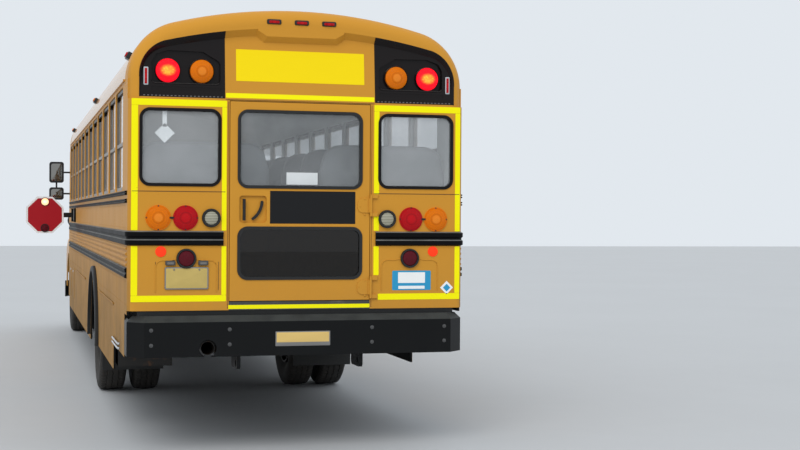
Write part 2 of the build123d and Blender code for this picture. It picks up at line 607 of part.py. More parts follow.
with BuildPart() as rear_panels:
    block((DOOR_HALF, HALF), (WALL_REAR_Y, REAR_Y), (FLOOR_BOTTOM, REAR_HEAD_Z))
    block((-HALF, -DOOR_HALF), (WALL_REAR_Y, REAR_Y), (FLOOR_BOTTOM, REAR_HEAD_Z))
    fillet(rear_panels.edges().filter_by(Axis.Z).filter_by(
        lambda e: abs(e.center().X) > HALF - 1 and e.center().Y > REAR_Y - 1), REAR_CORNER)
    extrude(across(REAR_Y + 1) * panes(rear_windows, 0), amount=WALL + 2, mode=Mode.SUBTRACT)
    for z in HINGE_ROWS:
        for low, high in ((z - HINGE_END, z - HINGE_HALF - HINGE_PLAY),
                          (z + HINGE_HALF + HINGE_PLAY, z + HINGE_END)):
            rod((HINGE_X, HINGE_Y, low), (HINGE_X, HINGE_Y, high), HINGE_R)
            block((HINGE_X - HINGE_LEAF / 2, HINGE_X), (REAR_Y, HINGE_Y), (low, high))
save(rear_panels, "rear_panels")

with BuildPart() as window_seals:
    add(seals(rear_windows))
save(window_seals, "window_seals")

# Cowl: cheeks beside the footwell, firewall, scuttle, windshield posts and centre post
CHEEK_Z = 560
SCUTTLE_T = 20
SCUTTLE_DEPTH = 90
FIREWALL_T = 30


def post_profile(inset, thickness):
    """Leaning strip in Y and Z from the scuttle to the front cap."""
    foot, head = BODY_FRONT_Y - POST_BASE + inset, BODY_FRONT_Y - FRONT_CAP_NOSE + inset
    return ((foot, COWL_TOP), (head, FRONT_HEAD_Z), (head + thickness, FRONT_HEAD_Z),
            (foot + thickness, COWL_TOP))


with BuildPart() as cowl:
    for side in (1, -1):
        with BuildSketch(along(min(side * INNER, side * HALF))):
            Polygon((BODY_FRONT_Y, CHEEK_Z), (BODY_FRONT_Y, FRONT_HEAD_Z),
                    (CAP_NOSE_Y, FRONT_HEAD_Z), (BODY_FRONT_Y - POST_BASE, COWL_TOP),
                    (FIREWALL_Y, COWL_TOP), (FIREWALL_Y, CHEEK_Z), align=None)
        extrude(amount=WALL)
    block((-INNER, INNER), (FIREWALL_Y, FIREWALL_Y + FIREWALL_T), (FLOOR_BOTTOM, COWL_TOP))
    block((-INNER, INNER), (FIREWALL_Y, FIREWALL_Y + SCUTTLE_DEPTH), (COWL_TOP - SCUTTLE_T, COWL_TOP))
    with BuildSketch(along(-CENTRE_POST / 2)):
        Polygon(*post_profile(0, WINDSHIELD_INSET + WINDSHIELD_T), align=None)
    extrude(amount=CENTRE_POST)
save(cowl, "cowl")

# Window frames in the side walls
left_rows = [(y, window_width) for y in window_centres] + [(driver_window_y, driver_window_width)]
frame_sets = ((HALF - SASH_DEPTH - SASH_INSET, left_rows), (-HALF + SASH_INSET, left_rows[:-1]))
with BuildPart() as window_frames:
    for start, rows in frame_sets:
        with BuildSketch(along(start)):
            for y, width in rows:
                with Locations((y, window_middle)):
                    RectangleRounded(width, window_height, WINDOW_CORNER)
                    RectangleRounded(width - 2 * SASH, window_height - 2 * SASH,
                                     WINDOW_CORNER - SASH, mode=Mode.SUBTRACT)
                with Locations((y, MID_RAIL_Z)):
                    Rectangle(width - 2 * SASH + 2, SASH)
        extrude(amount=SASH_DEPTH)
save(window_frames, "window_frames")

# Glass of the side windows, the rear windows and the two halves of the windshield
with BuildPart() as window_glass:
    for start, rows in frame_sets:
        with BuildSketch(along(start + (SASH_DEPTH - GLASS_T) / 2)):
            for y, width in rows:
                for low, high in ((SILL_Z + SASH, MID_RAIL_Z - SASH / 2),
                                  (MID_RAIL_Z + SASH / 2, HEAD_Z - SASH)):
                    with Locations((y, (low + high) / 2)):
                        RectangleRounded(width - 2 * SASH, high - low, WINDOW_CORNER - SASH)
        extrude(amount=GLASS_T)
    extrude(across(REAR_Y - 10) * panes(rear_windows, -SEAL_IN), amount=GLASS_T)
    for start in (-INNER, CENTRE_POST / 2):
        with BuildSketch(along(start)):
            Polygon(*post_profile(WINDSHIELD_INSET, WINDSHIELD_T), align=None)
        extrude(amount=INNER - CENTRE_POST / 2)
save(window_glass, "window_glass")

# Rub rails: pressed double ribs along both sides; the wide one goes round the rear corners
RAIL_SEAT = 6             # how far the valley between two ribs stands out


def rail_section(y, low, height):
    """Double rib in X and Z at Y = y on the left side."""
    with BuildSketch(across(y)) as section:
        Polygon((HALF, low), (HALF + RAIL_REACH, low + height * 0.08),
                (HALF + RAIL_REACH, low + height * 0.36),
                (HALF + RAIL_SEAT, low + height * 0.44), (HALF + RAIL_SEAT, low + height * 0.56),
                (HALF + RAIL_REACH, low + height * 0.64), (HALF + RAIL_REACH, low + height * 0.92),
                (HALF, low + height), align=None)
    return section.sketch


def rails(front_y):
    """All rails of the left side from front_y to the rear."""
    with BuildPart() as strips:
        for low, height in (*BELT_RAILS, LOW_RAIL):
            extrude(rail_section(WALL_REAR_Y, low, height), amount=WALL_REAR_Y - front_y)
        with BuildLine(mode=Mode.PRIVATE) as route:
            Line((HALF, front_y, RUB_RAIL[0]), (HALF, REAR_Y - REAR_CORNER, RUB_RAIL[0]))
            bend = REAR_CORNER * (1 - math.sqrt(0.5))
            ThreePointArc((HALF, REAR_Y - REAR_CORNER, RUB_RAIL[0]),
                          (HALF - bend, REAR_Y - bend, RUB_RAIL[0]),
                          (HALF - REAR_CORNER, REAR_Y, RUB_RAIL[0]))
            Line((HALF - REAR_CORNER, REAR_Y, RUB_RAIL[0]), (DOOR_HALF + RAIL_END, REAR_Y, RUB_RAIL[0]))
        sweep(rail_section(front_y, *RUB_RAIL), path=route.line)
    return strips.part


with BuildPart() as rub_rails:
    add(rails(BODY_FRONT_Y + 12))
    mirror(rails(DOORWAY_Y[1] + 40), about=Plane.YZ)
save(rub_rails, "rub_rails")

# Rear bumper: pressed channel with swept ends and a sloping top, on brackets with tow eyes
BUMPER_SLOPE = 42
BUMPER_T = 10
BUMPER_SWEEP = (110, 40)  # the corners start this far in from the side, and ahead of the rear face
EXHAUST_X = 666
EXHAUST_Z = 758
EXHAUST_R = 50
EYE_T = 25                # tow eyes: thickness, radius and place of the hole
EYE_R = 28
EYE_Y = REAR_Y - 30
EYE_Z = 640
EYE_PLATE = (260, 160, 30)                # length, height and corners of an eye's plate,
EYE_AHEAD = 70            # whose middle is ahead of the eye and above it
EYE_BELOW = 40


def bumper_blank(inset, low, high):
    """The bumper's outer shape, moved in by inset and sloped along its upper edge."""
    side, rear = HALF - inset, LENGTH / 2 - inset
    front = REAR_Y - BUMPER_RETURN - (1 if inset else 0)
    with BuildPart() as blank:
        with BuildSketch(Plane.XY.offset(low)):
            Polygon((-side, front), (-side, REAR_Y - BUMPER_SWEEP[1]), (-HALF + BUMPER_SWEEP[0], rear),
                    (HALF - BUMPER_SWEEP[0], rear), (side, REAR_Y - BUMPER_SWEEP[1]), (side, front),
                    align=None)
        extrude(amount=high - low)
        chamfer(blank.edges().group_by(Axis.Z)[-1].filter_by(lambda e: e.center().Y > front + 1),
                BUMPER_SLOPE)
    return blank.part


with BuildPart() as rear_bumper:
    add(bumper_blank(0, *BUMPER_Z))
    add(bumper_blank(BUMPER_T, BUMPER_Z[0] - 1, BUMPER_Z[1] - BUMPER_T), mode=Mode.SUBTRACT)
    block((-HALF + SKIRT_T, HALF - SKIRT_T), (REAR_Y - BUMPER_RETURN - 1, RAIL_REAR_Y),
          (BUMPER_Z[0] - 1, BUMPER_Z[1] + 1), mode=Mode.SUBTRACT)
    for side in (1, -1):
        block(sorted((side * (FRAME_HALF - 60), side * FRAME_HALF)), (RAIL_REAR_Y, LENGTH / 2 - BUMPER_T),
              (RAIL_BOTTOM + 20, RAIL_TOP - 40))
        with BuildSketch(along(FRAME_HALF if side == 1 else -FRAME_HALF - EYE_T)):
            with Locations((EYE_Y - EYE_AHEAD, EYE_Z + EYE_BELOW)):
                RectangleRounded(*EYE_PLATE)
            with Locations((EYE_Y, EYE_Z)):
                Circle(EYE_R, mode=Mode.SUBTRACT)
        extrude(amount=EYE_T)
    rod((EXHAUST_X, LENGTH / 2 - 2 * BUMPER_T, EXHAUST_Z), (EXHAUST_X, LENGTH / 2 + 1, EXHAUST_Z),
        EXHAUST_R + 10, mode=Mode.SUBTRACT)
save(rear_bumper, "rear_bumper")

# Front bumper, with the two holes for a number plate
PLATE_SPACING = 178
PLATE_HOLE_R = 3.5
PLATE_HOLE_Z = 630
FRONT_BUMPER_Z = (450, 690)
FRONT_BUMPER_T = 12
FRONT_BENDS = ((0, 180), (60, 40), (260, 0))      # in from the side, back from the front
FRONT_BENDS_IN = ((FRONT_BUMPER_T, 184), (68, 52), (262, FRONT_BUMPER_T))     # and inside the metal
HORN_LAP = 90             # the horns' lap under the rails
HORN_T = 30
with BuildPart() as front_bumper:
    with BuildSketch(Plane.XY.offset(FRONT_BUMPER_Z[0])):
        outer = [(HALF - x, FRONT_Y + y) for x, y in FRONT_BENDS]
        outer += [(-x, y) for x, y in reversed(outer)]
        inner = [(x - HALF, FRONT_Y + y) for x, y in FRONT_BENDS_IN]
        Polygon(*outer, *inner, *[(-x, y) for x, y in reversed(inner)], align=None)
    extrude(amount=FRONT_BUMPER_Z[1] - FRONT_BUMPER_Z[0])
    for side in (1, -1):
        horn = sorted((side * (FRAME_HALF - 60), side * FRAME_HALF))
        horn_end = RAIL_FRONT_Y + HORN_LAP
        block(horn, (FRONT_Y + FRONT_BUMPER_T, horn_end), (FRONT_BUMPER_Z[0] + 20, RAIL_BOTTOM - HORN_T))
        block(horn, (RAIL_FRONT_Y, horn_end), (RAIL_BOTTOM - HORN_T, RAIL_BOTTOM))
        rod((side * PLATE_SPACING / 2, FRONT_Y - 1, PLATE_HOLE_Z),
            (side * PLATE_SPACING / 2, FRONT_Y + FRONT_BUMPER_T + 1, PLATE_HOLE_Z), PLATE_HOLE_R,
            mode=Mode.SUBTRACT)
save(front_bumper, "front_bumper")

# Seats: cushion and back of each bench, and the driver's seat
SEAT_ROWS = 12
SEAT_REAR = 200           # rear face to the last seat back
SEAT_FRONT = 120          # behind the doorway
SEAT_WALL_GAP = 12
AISLE_HALF = 187
SEAT_Z = 440
CUSHION_T = 130
SEAT_BACK_TOP = 1130
SEAT_DEPTH = 400
BACK_T = 95
BACK_TAPER = 25           # the back is this much thinner at its top
BACK_LEAN = 60            # and stands further forward at the cushion
PAD_ROUND = 28
LEG_WIDTH = 30
LEG_INSET = 120           # legs from the aisle
LEG_FRONT = 65            # legs behind the cushion's front, and ahead of the back
LEG_BACK = 110
PEDESTAL_INSET = 150      # the driver's pedestal from the seat's sides
DRIVER_SEAT = (HALF - 869, HALF - 349)    # x
DRIVER_BACK = 490         # behind the middle of the driver's window
seat_width = INNER - SEAT_WALL_GAP - AISLE_HALF
seat_rear_y = REAR_Y - SEAT_REAR
seat_pitch = (seat_rear_y - DOORWAY_Y[1] - SEAT_FRONT) / SEAT_ROWS
seat_rows = [seat_rear_y - seat_pitch * k for k in range(SEAT_ROWS)]
driver_back_y = driver_window_y + DRIVER_BACK


def seat_profile(back_y):
    """Bench seat seen from the side: thick cushion ahead of a back that leans and thins upwards."""
    top, seat = FLOOR_TOP + SEAT_BACK_TOP, FLOOR_TOP + SEAT_Z
    with BuildSketch() as profile:
        Polygon((back_y, top), (back_y - BACK_T + BACK_TAPER, top), (back_y - BACK_T - BACK_LEAN, seat),
                (back_y - BACK_T - SEAT_DEPTH, seat), (back_y - BACK_T - SEAT_DEPTH, seat - CUSHION_T),
                (back_y - BACK_LEAN, seat - CUSHION_T), align=None)
        fillet(profile.vertices(), PAD_ROUND)
    return profile.sketch


with BuildPart() as seats:
    for back_y in seat_rows:
        for start in (AISLE_HALF, -AISLE_HALF - seat_width):
            extrude(along(start) * seat_profile(back_y), amount=seat_width)
    extrude(along(DRIVER_SEAT[0]) * seat_profile(driver_back_y), amount=DRIVER_SEAT[1] - DRIVER_SEAT[0])
save(seats, "seats")

with BuildPart() as seat_frames:
    leg_z = (FLOOR_TOP, FLOOR_TOP + SEAT_Z - CUSHION_T)
    for back_y in seat_rows:
        for side in (1, -1):
            leg = sorted((side * (AISLE_HALF + LEG_INSET), side * (AISLE_HALF + LEG_INSET + LEG_WIDTH)))
            block(leg, (back_y - BACK_T - SEAT_DEPTH + LEG_FRONT, back_y - LEG_BACK), leg_z)
    block((DRIVER_SEAT[0] + PEDESTAL_INSET, DRIVER_SEAT[1] - PEDESTAL_INSET),
          (driver_back_y - BACK_T - SEAT_DEPTH + LEG_FRONT, driver_back_y - LEG_BACK), leg_z)
save(seat_frames, "seat_frames")

# Dashboard with the steering wheel on its column
STEER_CENTRE = (HALF - 609, FIREWALL_Y + 470, 1720)
STEER_RADIUS = 215
STEER_GRIP = 14
STEER_TILT = (0, 0.8, 0.6)
STEER_HUB = 60
STEER_SPOKE = 36
COLUMN = (240, 180, 30)   # its foot ahead of the wheel and below it, and its radius
DASH_LOW = 1500
DASH_LIP = (250, 300, 200)                # behind the firewall: top edge, nose and lower edge
DASH_DROP = 40            # top edge under the scuttle
DASH_NOSE_Z = 1560
with BuildPart() as dash_panel:
    with BuildSketch(along(-INNER)):
        Polygon((FIREWALL_Y + FIREWALL_T, DASH_LOW), (FIREWALL_Y + FIREWALL_T, COWL_TOP - SCUTTLE_T),
                (FIREWALL_Y + DASH_LIP[0], COWL_TOP - SCUTTLE_T - DASH_DROP),
                (FIREWALL_Y + DASH_LIP[1], DASH_NOSE_Z), (FIREWALL_Y + DASH_LIP[2], DASH_LOW), align=None)
    extrude(amount=2 * INNER)
with BuildPart() as dashboard:
    add(dash_panel.part)
    steer = Plane(origin=STEER_CENTRE, x_dir=(1, 0, 0), z_dir=STEER_TILT)
    with BuildSketch(steer):
        Circle(STEER_HUB)
        with PolarLocations(STEER_RADIUS / 2, 3, start_angle=90):
            Rectangle(STEER_RADIUS - STEER_GRIP, STEER_SPOKE)
    extrude(amount=-2 * STEER_GRIP)
    with Locations(steer.offset(-STEER_GRIP).location):
        Torus(STEER_RADIUS, STEER_GRIP)
    rod(STEER_CENTRE, (STEER_CENTRE[0], STEER_CENTRE[1] - COLUMN[0], STEER_CENTRE[2] - COLUMN[1]),
        COLUMN[2])
save(dashboard, "dashboard")

# Engine: one plain block at its real place, between the rails' flanges
ENGINE_ROOM = (650, 40)   # front bumper to the engine, and engine to the firewall
ENGINE_Z = (620, 1520)
engine_y = (FRONT_Y + ENGINE_ROOM[0], FIREWALL_Y - ENGINE_ROOM[1])
with BuildPart() as engine:
    block((RAIL_FLANGE - FRAME_HALF, FRAME_HALF - RAIL_FLANGE), engine_y, ENGINE_Z)
save(engine, "engine")

# Front axle: dropped beam with bosses for the kingpins
SPINDLE = 35
KINGPIN_INSET = 160       # kingpin inside the middle of the tyre
KINGPIN = 22
BOSS = 45
BOSS_HALF = 75
BEAM_Z = (TYRE_RADIUS - 113, TYRE_RADIUS - 28)
kingpin_x = FRONT_WHEEL_X - KINGPIN_INSET
with BuildPart() as front_axle:
    block((50 - kingpin_x, kingpin_x - 50), (FRONT_AXLE_Y - 45, FRONT_AXLE_Y + 45), BEAM_Z)
    for side in (1, -1):
        block(sorted((side * (kingpin_x - 130), side * (kingpin_x - 20))),
              (FRONT_AXLE_Y - 40, FRONT_AXLE_Y + 40), (BEAM_Z[0] + 35, TYRE_RADIUS + BOSS_HALF - 10))
        with Locations((side * kingpin_x, FRONT_AXLE_Y, TYRE_RADIUS)):
            Cylinder(BOSS, 2 * BOSS_HALF)
            Cylinder(KINGPIN + RUN_GAP, 2 * BOSS_HALF + 2, mode=Mode.SUBTRACT)
        block(sorted((side * (kingpin_x - 130), side * (kingpin_x + 60))),
              (FRONT_AXLE_Y - 60, FRONT_AXLE_Y + 60), (BEAM_Z[0] - 1, TYRE_RADIUS - BOSS_HALF),
              mode=Mode.SUBTRACT)
save(front_axle, "front_axle")

# Rear axle: tube, differential, spindles and the propeller shaft
AXLE_TUBE = 70
REAR_SPINDLE = 45
DIFF_R = 190
SHAFT_R = 50
SHAFT_FRONT_Z = 650
SHAFT_REAR_Z = TYRE_RADIUS + 20
tube_end = DUAL_X - 125
spindle_end = DUAL_X + 95
with BuildPart() as rear_axle:
    rod((-tube_end, REAR_AXLE_Y, TYRE_RADIUS), (tube_end, REAR_AXLE_Y, TYRE_RADIUS), AXLE_TUBE)
    rod((-spindle_end, REAR_AXLE_Y, TYRE_RADIUS), (spindle_end, REAR_AXLE_Y, TYRE_RADIUS), REAR_SPINDLE)
    with Locations((0, REAR_AXLE_Y, TYRE_RADIUS)):
        Sphere(DIFF_R)
    rod((0, REAR_AXLE_Y - 150, TYRE_RADIUS), (0, REAR_AXLE_Y - 420, SHAFT_REAR_Z), 80)
    for y, z in ((engine_y[1], SHAFT_FRONT_Z), (REAR_AXLE_Y - 410, SHAFT_REAR_Z)):
        with BuildSketch(across(y)):
            with Locations((0, z)):
                Circle(SHAFT_R)
    loft()
save(rear_axle, "rear_axle")

# Leaf springs with their hangers
SPRING_T = 45
SPRING_WIDTH = 76
SPRING_REACH = 620
REAR_SPRING_RISE = 90
HANGER_TOP = RAIL_BOTTOM + 150
with BuildPart() as leaf_springs:
    front_rise = RAIL_BOTTOM - SPRING_T - BEAM_Z[1]
    rows = ((FRONT_AXLE_Y, FRAME_HALF - SPRING_WIDTH, BEAM_Z[1], front_rise),
            (REAR_AXLE_Y, FRAME_HALF, TYRE_RADIUS + AXLE_TUBE, REAR_SPRING_RISE))
    for axle_y, inner_x, seat_z, rise in rows:
        ends = axle_y - SPRING_REACH, axle_y + SPRING_REACH
        with BuildSketch(along(inner_x)):
            with BuildLine():
                ThreePointArc((ends[0], seat_z + rise), (axle_y, seat_z), (ends[1], seat_z + rise))
                Line((ends[1], seat_z + rise), (ends[1], seat_z + rise + SPRING_T))
                ThreePointArc((ends[1], seat_z + rise + SPRING_T), (axle_y, seat_z + SPRING_T),
                              (ends[0], seat_z + rise + SPRING_T))
                Line((ends[0], seat_z + rise + SPRING_T), (ends[0], seat_z + rise))
            make_face()
        extrude(amount=SPRING_WIDTH)
        if inner_x >= FRAME_HALF:
            for y in ends:
                block((inner_x, inner_x + SPRING_WIDTH), (y - 40, y + 40), (seat_z + rise, HANGER_TOP))
    mirror(about=Plane.YZ)
save(leaf_springs, "leaf_springs")

# Fuel tank on the right rail
TANK_Y = (REAR_AXLE_Y - 3280, REAR_AXLE_Y - 1580)
TANK_Z = (470, 930)
TANK_GAP = 60
TANK_SIDE = 69            # tank inside the side panel
TANK_ROUND = 60
TANK_STRAPS = (TANK_Y[0] + 300, TANK_Y[1] - 400)
STRAP_WIDTH = 100
STRAP_Z = (TANK_Z[0] + 250, RAIL_TOP - 60)
with BuildPart() as fuel_tank:
    block((-HALF + TANK_SIDE, -FRAME_HALF - TANK_GAP), TANK_Y, TANK_Z)
    fillet(fuel_tank.edges().filter_by(Axis.Y), TANK_ROUND)
    for y in TANK_STRAPS:
        block((-FRAME_HALF - TANK_GAP, -FRAME_HALF), (y, y + STRAP_WIDTH), STRAP_Z)
save(fuel_tank, "fuel_tank")

# Exhaust on the left: silencer, tail pipe and its brackets
SILENCER_R = 82
SILENCER_Y = (REAR_AXLE_Y + 1250, REAR_AXLE_Y + 2300)
with BuildPart() as exhaust:
    rod((EXHAUST_X, SILENCER_Y[0], EXHAUST_Z), (EXHAUST_X, SILENCER_Y[1], EXHAUST_Z), SILENCER_R)
    rod((EXHAUST_X, SILENCER_Y[1], EXHAUST_Z), (EXHAUST_X, LENGTH / 2 - 30, EXHAUST_Z), EXHAUST_R)
    rod((EXHAUST_X, SILENCER_Y[1] + 100, EXHAUST_Z), (EXHAUST_X, LENGTH / 2 - 29, EXHAUST_Z), EXHAUST_R - 4,
        mode=Mode.SUBTRACT)
    for y, reach in ((SILENCER_Y[0] + 200, SILENCER_R), (REAR_Y - 850, EXHAUST_R)):
        block((FRAME_HALF, EXHAUST_X - reach + 4), (y, y + 30), (EXHAUST_Z - 12, EXHAUST_Z + 12))
save(exhaust, "exhaust")

# Luggage lockers behind the left skirt doors
LOCKER_T = 8
LOCKER_DEPTH = 459        # side panel to the locker's back
LOCKER_EDGE = 20
with BuildPart() as lockers:
    for front_y, rear_y, low in LOCKERS.values():
        box_y = (front_y + LOCKER_EDGE, rear_y - LOCKER_EDGE)
        box_z = (low + 15, RAIL_TOP)
        block((HALF - LOCKER_DEPTH, HALF - SKIRT_T - LOCKER_EDGE), box_y, box_z)
        block((HALF - LOCKER_DEPTH + LOCKER_T, HALF), (box_y[0] + LOCKER_T, box_y[1] - LOCKER_T),
              (box_z[0] + LOCKER_T, box_z[1] - LOCKER_T), mode=Mode.SUBTRACT)
save(lockers, "lockers")

for name, (front_y, rear_y, low) in LOCKERS.items():
    with BuildPart() as locker_door:
        door_y = (front_y + GAP, rear_y - GAP)
        block((HALF - SKIRT_T, HALF), door_y, (low, LOCKER_TOP - GAP))
        fillet(locker_door.edges().filter_by(Axis.X).group_by(Axis.Z)[0], 12)
        rod((LOCKER_PIVOT_X, door_y[0], LOCKER_PIVOT_Z), (LOCKER_PIVOT_X, door_y[1], LOCKER_PIVOT_Z),
            LOCKER_PIVOT_R)
        block((HALF, LOCKER_PIVOT_X), door_y, (LOCKER_TOP - GAP - 12, LOCKER_TOP - GAP))
    save(locker_door, f"{name}_door")

# Mud guards: flares round the rear arches and flaps behind the wheels
FLARE_OUT = 34
FLARE_WIDTH = 46
FLAP_Z = 250
FLAP_T = 12
FLAP_GAP = 90             # behind the tyre
FLAP_INSET = (20, 39)     # beside the wheel box, and from the side panel
with BuildPart() as mud_guards:
    with BuildSketch(along(HALF)):
        with Locations((REAR_AXLE_Y, TYRE_RADIUS)):
            Circle(ARCH_RADIUS + FLARE_WIDTH)
            Circle(ARCH_RADIUS, mode=Mode.SUBTRACT)
        with Locations((REAR_AXLE_Y, REAR_SKIRT_Z - 2 * ARCH_RADIUS)):
            Rectangle(4 * ARCH_RADIUS, 4 * ARCH_RADIUS, mode=Mode.SUBTRACT)
    extrude(amount=FLARE_OUT)
    fillet(mud_guards.faces().sort_by(Axis.X)[-1].edges().filter_by(GeomType.CIRCLE)
           .sort_by(SortBy.RADIUS)[-1], FLARE_OUT / 2)
    flap_y = REAR_AXLE_Y + TYRE_RADIUS + FLAP_GAP
    block((wheel_box_x + FLAP_INSET[0], HALF - FLAP_INSET[1]), (flap_y, flap_y + FLAP_T),
          (FLAP_Z, FLOOR_BOTTOM))
    mirror(about=Plane.YZ)
save(mud_guards, "mud_guards")

# Rear door, with a shallow pocket for its handle
REAR_DOOR_Z = (FLOOR_TOP + GAP, REAR_HEAD_Z - GAP)
POCKET = ((DOOR_HALF - 268, DOOR_HALF - 73), (1638, 1830))      # x, z
POCKET_DEPTH = 18
POCKET_ROUND = 22
HANDLE_X = DOOR_HALF - 105
HANDLE_Z = (1654, 1807)
HANDLE_R = 11
HANDLE_POST_R = 7
HANDLE_POST_INSET = 24    # posts inside the handle's ends
LEVER = ((DOOR_HALF - 171, 1667), (DOOR_HALF - 215, 1717),      # x, z of its tip, bend and pivot
         (DOOR_HALF - 235, 1785))
LEVER_WIDTH = 20
LEVER_PIVOT_R = 8
door_x = (-DOOR_HALF + GAP, DOOR_HALF - GAP)
pocket_y = REAR_Y - POCKET_DEPTH
with BuildPart() as rear_door:
    block(door_x, (REAR_Y - REAR_DOOR_T, REAR_Y), REAR_DOOR_Z)
    extrude(across(REAR_Y + 1) * panes(door_windows, 0), amount=REAR_DOOR_T + 2, mode=Mode.SUBTRACT)
    with BuildSketch(across(REAR_Y)):
        with Locations((sum(POCKET[0]) / 2, sum(POCKET[1]) / 2)):
            RectangleRounded(POCKET[0][1] - POCKET[0][0], POCKET[1][1] - POCKET[1][0], POCKET_ROUND)
    extrude(amount=POCKET_DEPTH, mode=Mode.SUBTRACT)
    for z in HINGE_ROWS:
        hinge_z = (z - HINGE_HALF, z + HINGE_HALF)
        rod((HINGE_X, HINGE_Y, hinge_z[0]), (HINGE_X, HINGE_Y, hinge_z[1]), HINGE_R)
        block((HINGE_X, HINGE_X + 2 * HINGE_R), (REAR_Y + HINGE_PLATE, HINGE_Y), hinge_z)
        with BuildSketch(across(REAR_Y + HINGE_PLATE)) as leaf:
            Polygon((door_x[0], hinge_z[0]), (HINGE_X + HINGE_LEAF, hinge_z[0]),
                    (HINGE_X + HINGE_LEAF, hinge_z[1]), (door_x[0], hinge_z[1]), align=None)
            fillet(leaf.vertices().group_by(Axis.X)[-1], HINGE_LEAF_ROUND)
        extrude(leaf.sketch, amount=HINGE_PLATE)
save(rear_door, "rear_door")

with BuildPart() as rear_door_fittings:
    add(seals(door_windows))
    bar_y = REAR_Y + HANDLE_R
    for z in (HANDLE_Z[0] + HANDLE_POST_INSET, HANDLE_Z[1] - HANDLE_POST_INSET):
        rod((HANDLE_X, pocket_y, z), (HANDLE_X, bar_y, z), HANDLE_POST_R)
    rod((HANDLE_X, bar_y, HANDLE_Z[0]), (HANDLE_X, bar_y, HANDLE_Z[1]), HANDLE_R)
    with BuildSketch(across(REAR_Y)):
        with BuildLine():
            ThreePointArc(*LEVER)
            offset(amount=LEVER_WIDTH / 2)
        make_face()
    extrude(amount=LEVER_WIDTH / 2)
    rod((LEVER[2][0], pocket_y, LEVER[2][1]), (LEVER[2][0], REAR_Y - LEVER_WIDTH / 4, LEVER[2][1]),
        LEVER_PIVOT_R)
save(rear_door_fittings, "rear_door_fittings")

with BuildPart() as rear_door_glass:
    extrude(across(REAR_Y - 10) * panes(door_windows, -SEAL_IN), amount=GLASS_T)
save(rear_door_glass, "rear_door_glass")

# Entrance door: two leaves that swing out from their jambs, each with two panes
LEAF_GAP = 6
LEAF_Z = (SKIRT_Z + 8, DOORWAY_TOP - GAP)
LEAF_PANES = ((620, 1330), (1450, 2400))
LEAF_STILE = 55
LEAF_CORNER = 40
leaf_width = (DOORWAY_WIDTH - 2 * GAP - LEAF_GAP) / 2
leaf_spans = {"front": (DOORWAY_Y[0] + GAP, DOORWAY_Y[0] + GAP + leaf_width),
              "rear": (DOORWAY_Y[1] - GAP - leaf_width, DOORWAY_Y[1] - GAP)}


def leaf_panes(x, middle_y):
    """Outlines of a leaf's two panes at X = x."""
    with BuildSketch(along(x)) as openings:
        for low, high in LEAF_PANES:
            with Locations((middle_y, (low + high) / 2)):
                RectangleRounded(leaf_width - 2 * LEAF_STILE, high - low, LEAF_CORNER)
    return openings.sketch


for name, span in leaf_spans.items():
    middle_y = sum(span) / 2
    pivot_y, inward = (span[0], 1) if name == "front" else (span[1], -1)
    with BuildPart() as leaf:
        block((-HALF, -HALF + LEAF_T), span, LEAF_Z)
        rod((LEAF_PIVOT_X, pivot_y, LEAF_Z[0]), (LEAF_PIVOT_X, pivot_y, PIVOT_TOP - HINGE_PLAY),
            LEAF_PIVOT_R)
        block((LEAF_PIVOT_X, -HALF), sorted((pivot_y, pivot_y + inward * LEAF_PIVOT_R)), LEAF_Z)
        extrude(leaf_panes(-HALF - 1, middle_y), amount=LEAF_T + 2, mode=Mode.SUBTRACT)
    save(leaf, f"entrance_door_{name}")
    with BuildPart() as leaf_glass:
        extrude(leaf_panes(-HALF + LEAF_T / 2, middle_y), amount=GLASS_T)
    save(leaf_glass, f"entrance_{name}_glass")

# Hood: engine cover and fenders in one shell that tilts forward
HOOD_T = 14
HOOD_GAP = 8              # hood to the firewall
HOOD_ROUND = 120
HOOD_LOW = 1000           # lower edge of its sides, between the fenders
NOSE_DEPTH = 250
HOOD_SECTIONS = ((HOOD_GAP, 760, 1725), (620, 720, 1655), (1350, 650, 1480), (1542, 610, 1400))
NOSE_Z = 800
FENDER_OUTER = HALF - 19
FENDER_INNER = 560
FENDER_ARCH = TYRE_RADIUS + FRONT_ARCH_GAP
FENDER_NOSE = 20          # fender's front face behind the nose
FENDER_TOP = 1350
FENDER_NOSE_Z = 830       # lower end of its front face, and of its sides
FENDER_LOW = 620
FENDER_ROUND = 70
FENDER_LEVEL = (330, 370) # its level top reaches this far behind the axle, and ahead
FENDER_FALL = (80, 120)   # and is this much lower at its rear end, and above its front face
FENDER_FACE = 300         # top of the front face below the fender's top
FENDER_SLOPE = (70, 150)  # how far the slopes over and under the front face reach back
GRILLE = ((-500, 500), (860, 1290))
BRACKET_GAP = 10          # hood brackets beside the rails
BRACKET_T = 16
BRACKET_HALF = 20         # round the tilt pin
BRACKET_Z = (16, 50)      # below the pin, and above it
BRACKET_FOOT = 40
hood_nose_y = FIREWALL_Y - HOOD_SECTIONS[-1][0]
fender_nose_y = hood_nose_y + FENDER_NOSE


def bonnet_blank(inset, low):
    """The engine cover's outer shape, moved in by inset: four sections with round shoulders."""
    sections = []
    for ahead, half, top in HOOD_SECTIONS:
        if inset:         # the hollow is open at the back and closed at the nose
            ahead += {HOOD_SECTIONS[0][0]: -1, HOOD_SECTIONS[-1][0]: -inset}.get(ahead, 0)
        with BuildSketch(across(FIREWALL_Y - ahead)) as section:
            Polygon((-half + inset, low), (-half + inset, top - inset), (half - inset, top - inset),
                    (half - inset, low), align=None)
            fillet(section.vertices().group_by(Axis.Z)[-1], HOOD_ROUND - inset)
        sections.append(section.sketch)
    with BuildPart() as blank:
        loft(sections, ruled=True)
    return blank.part


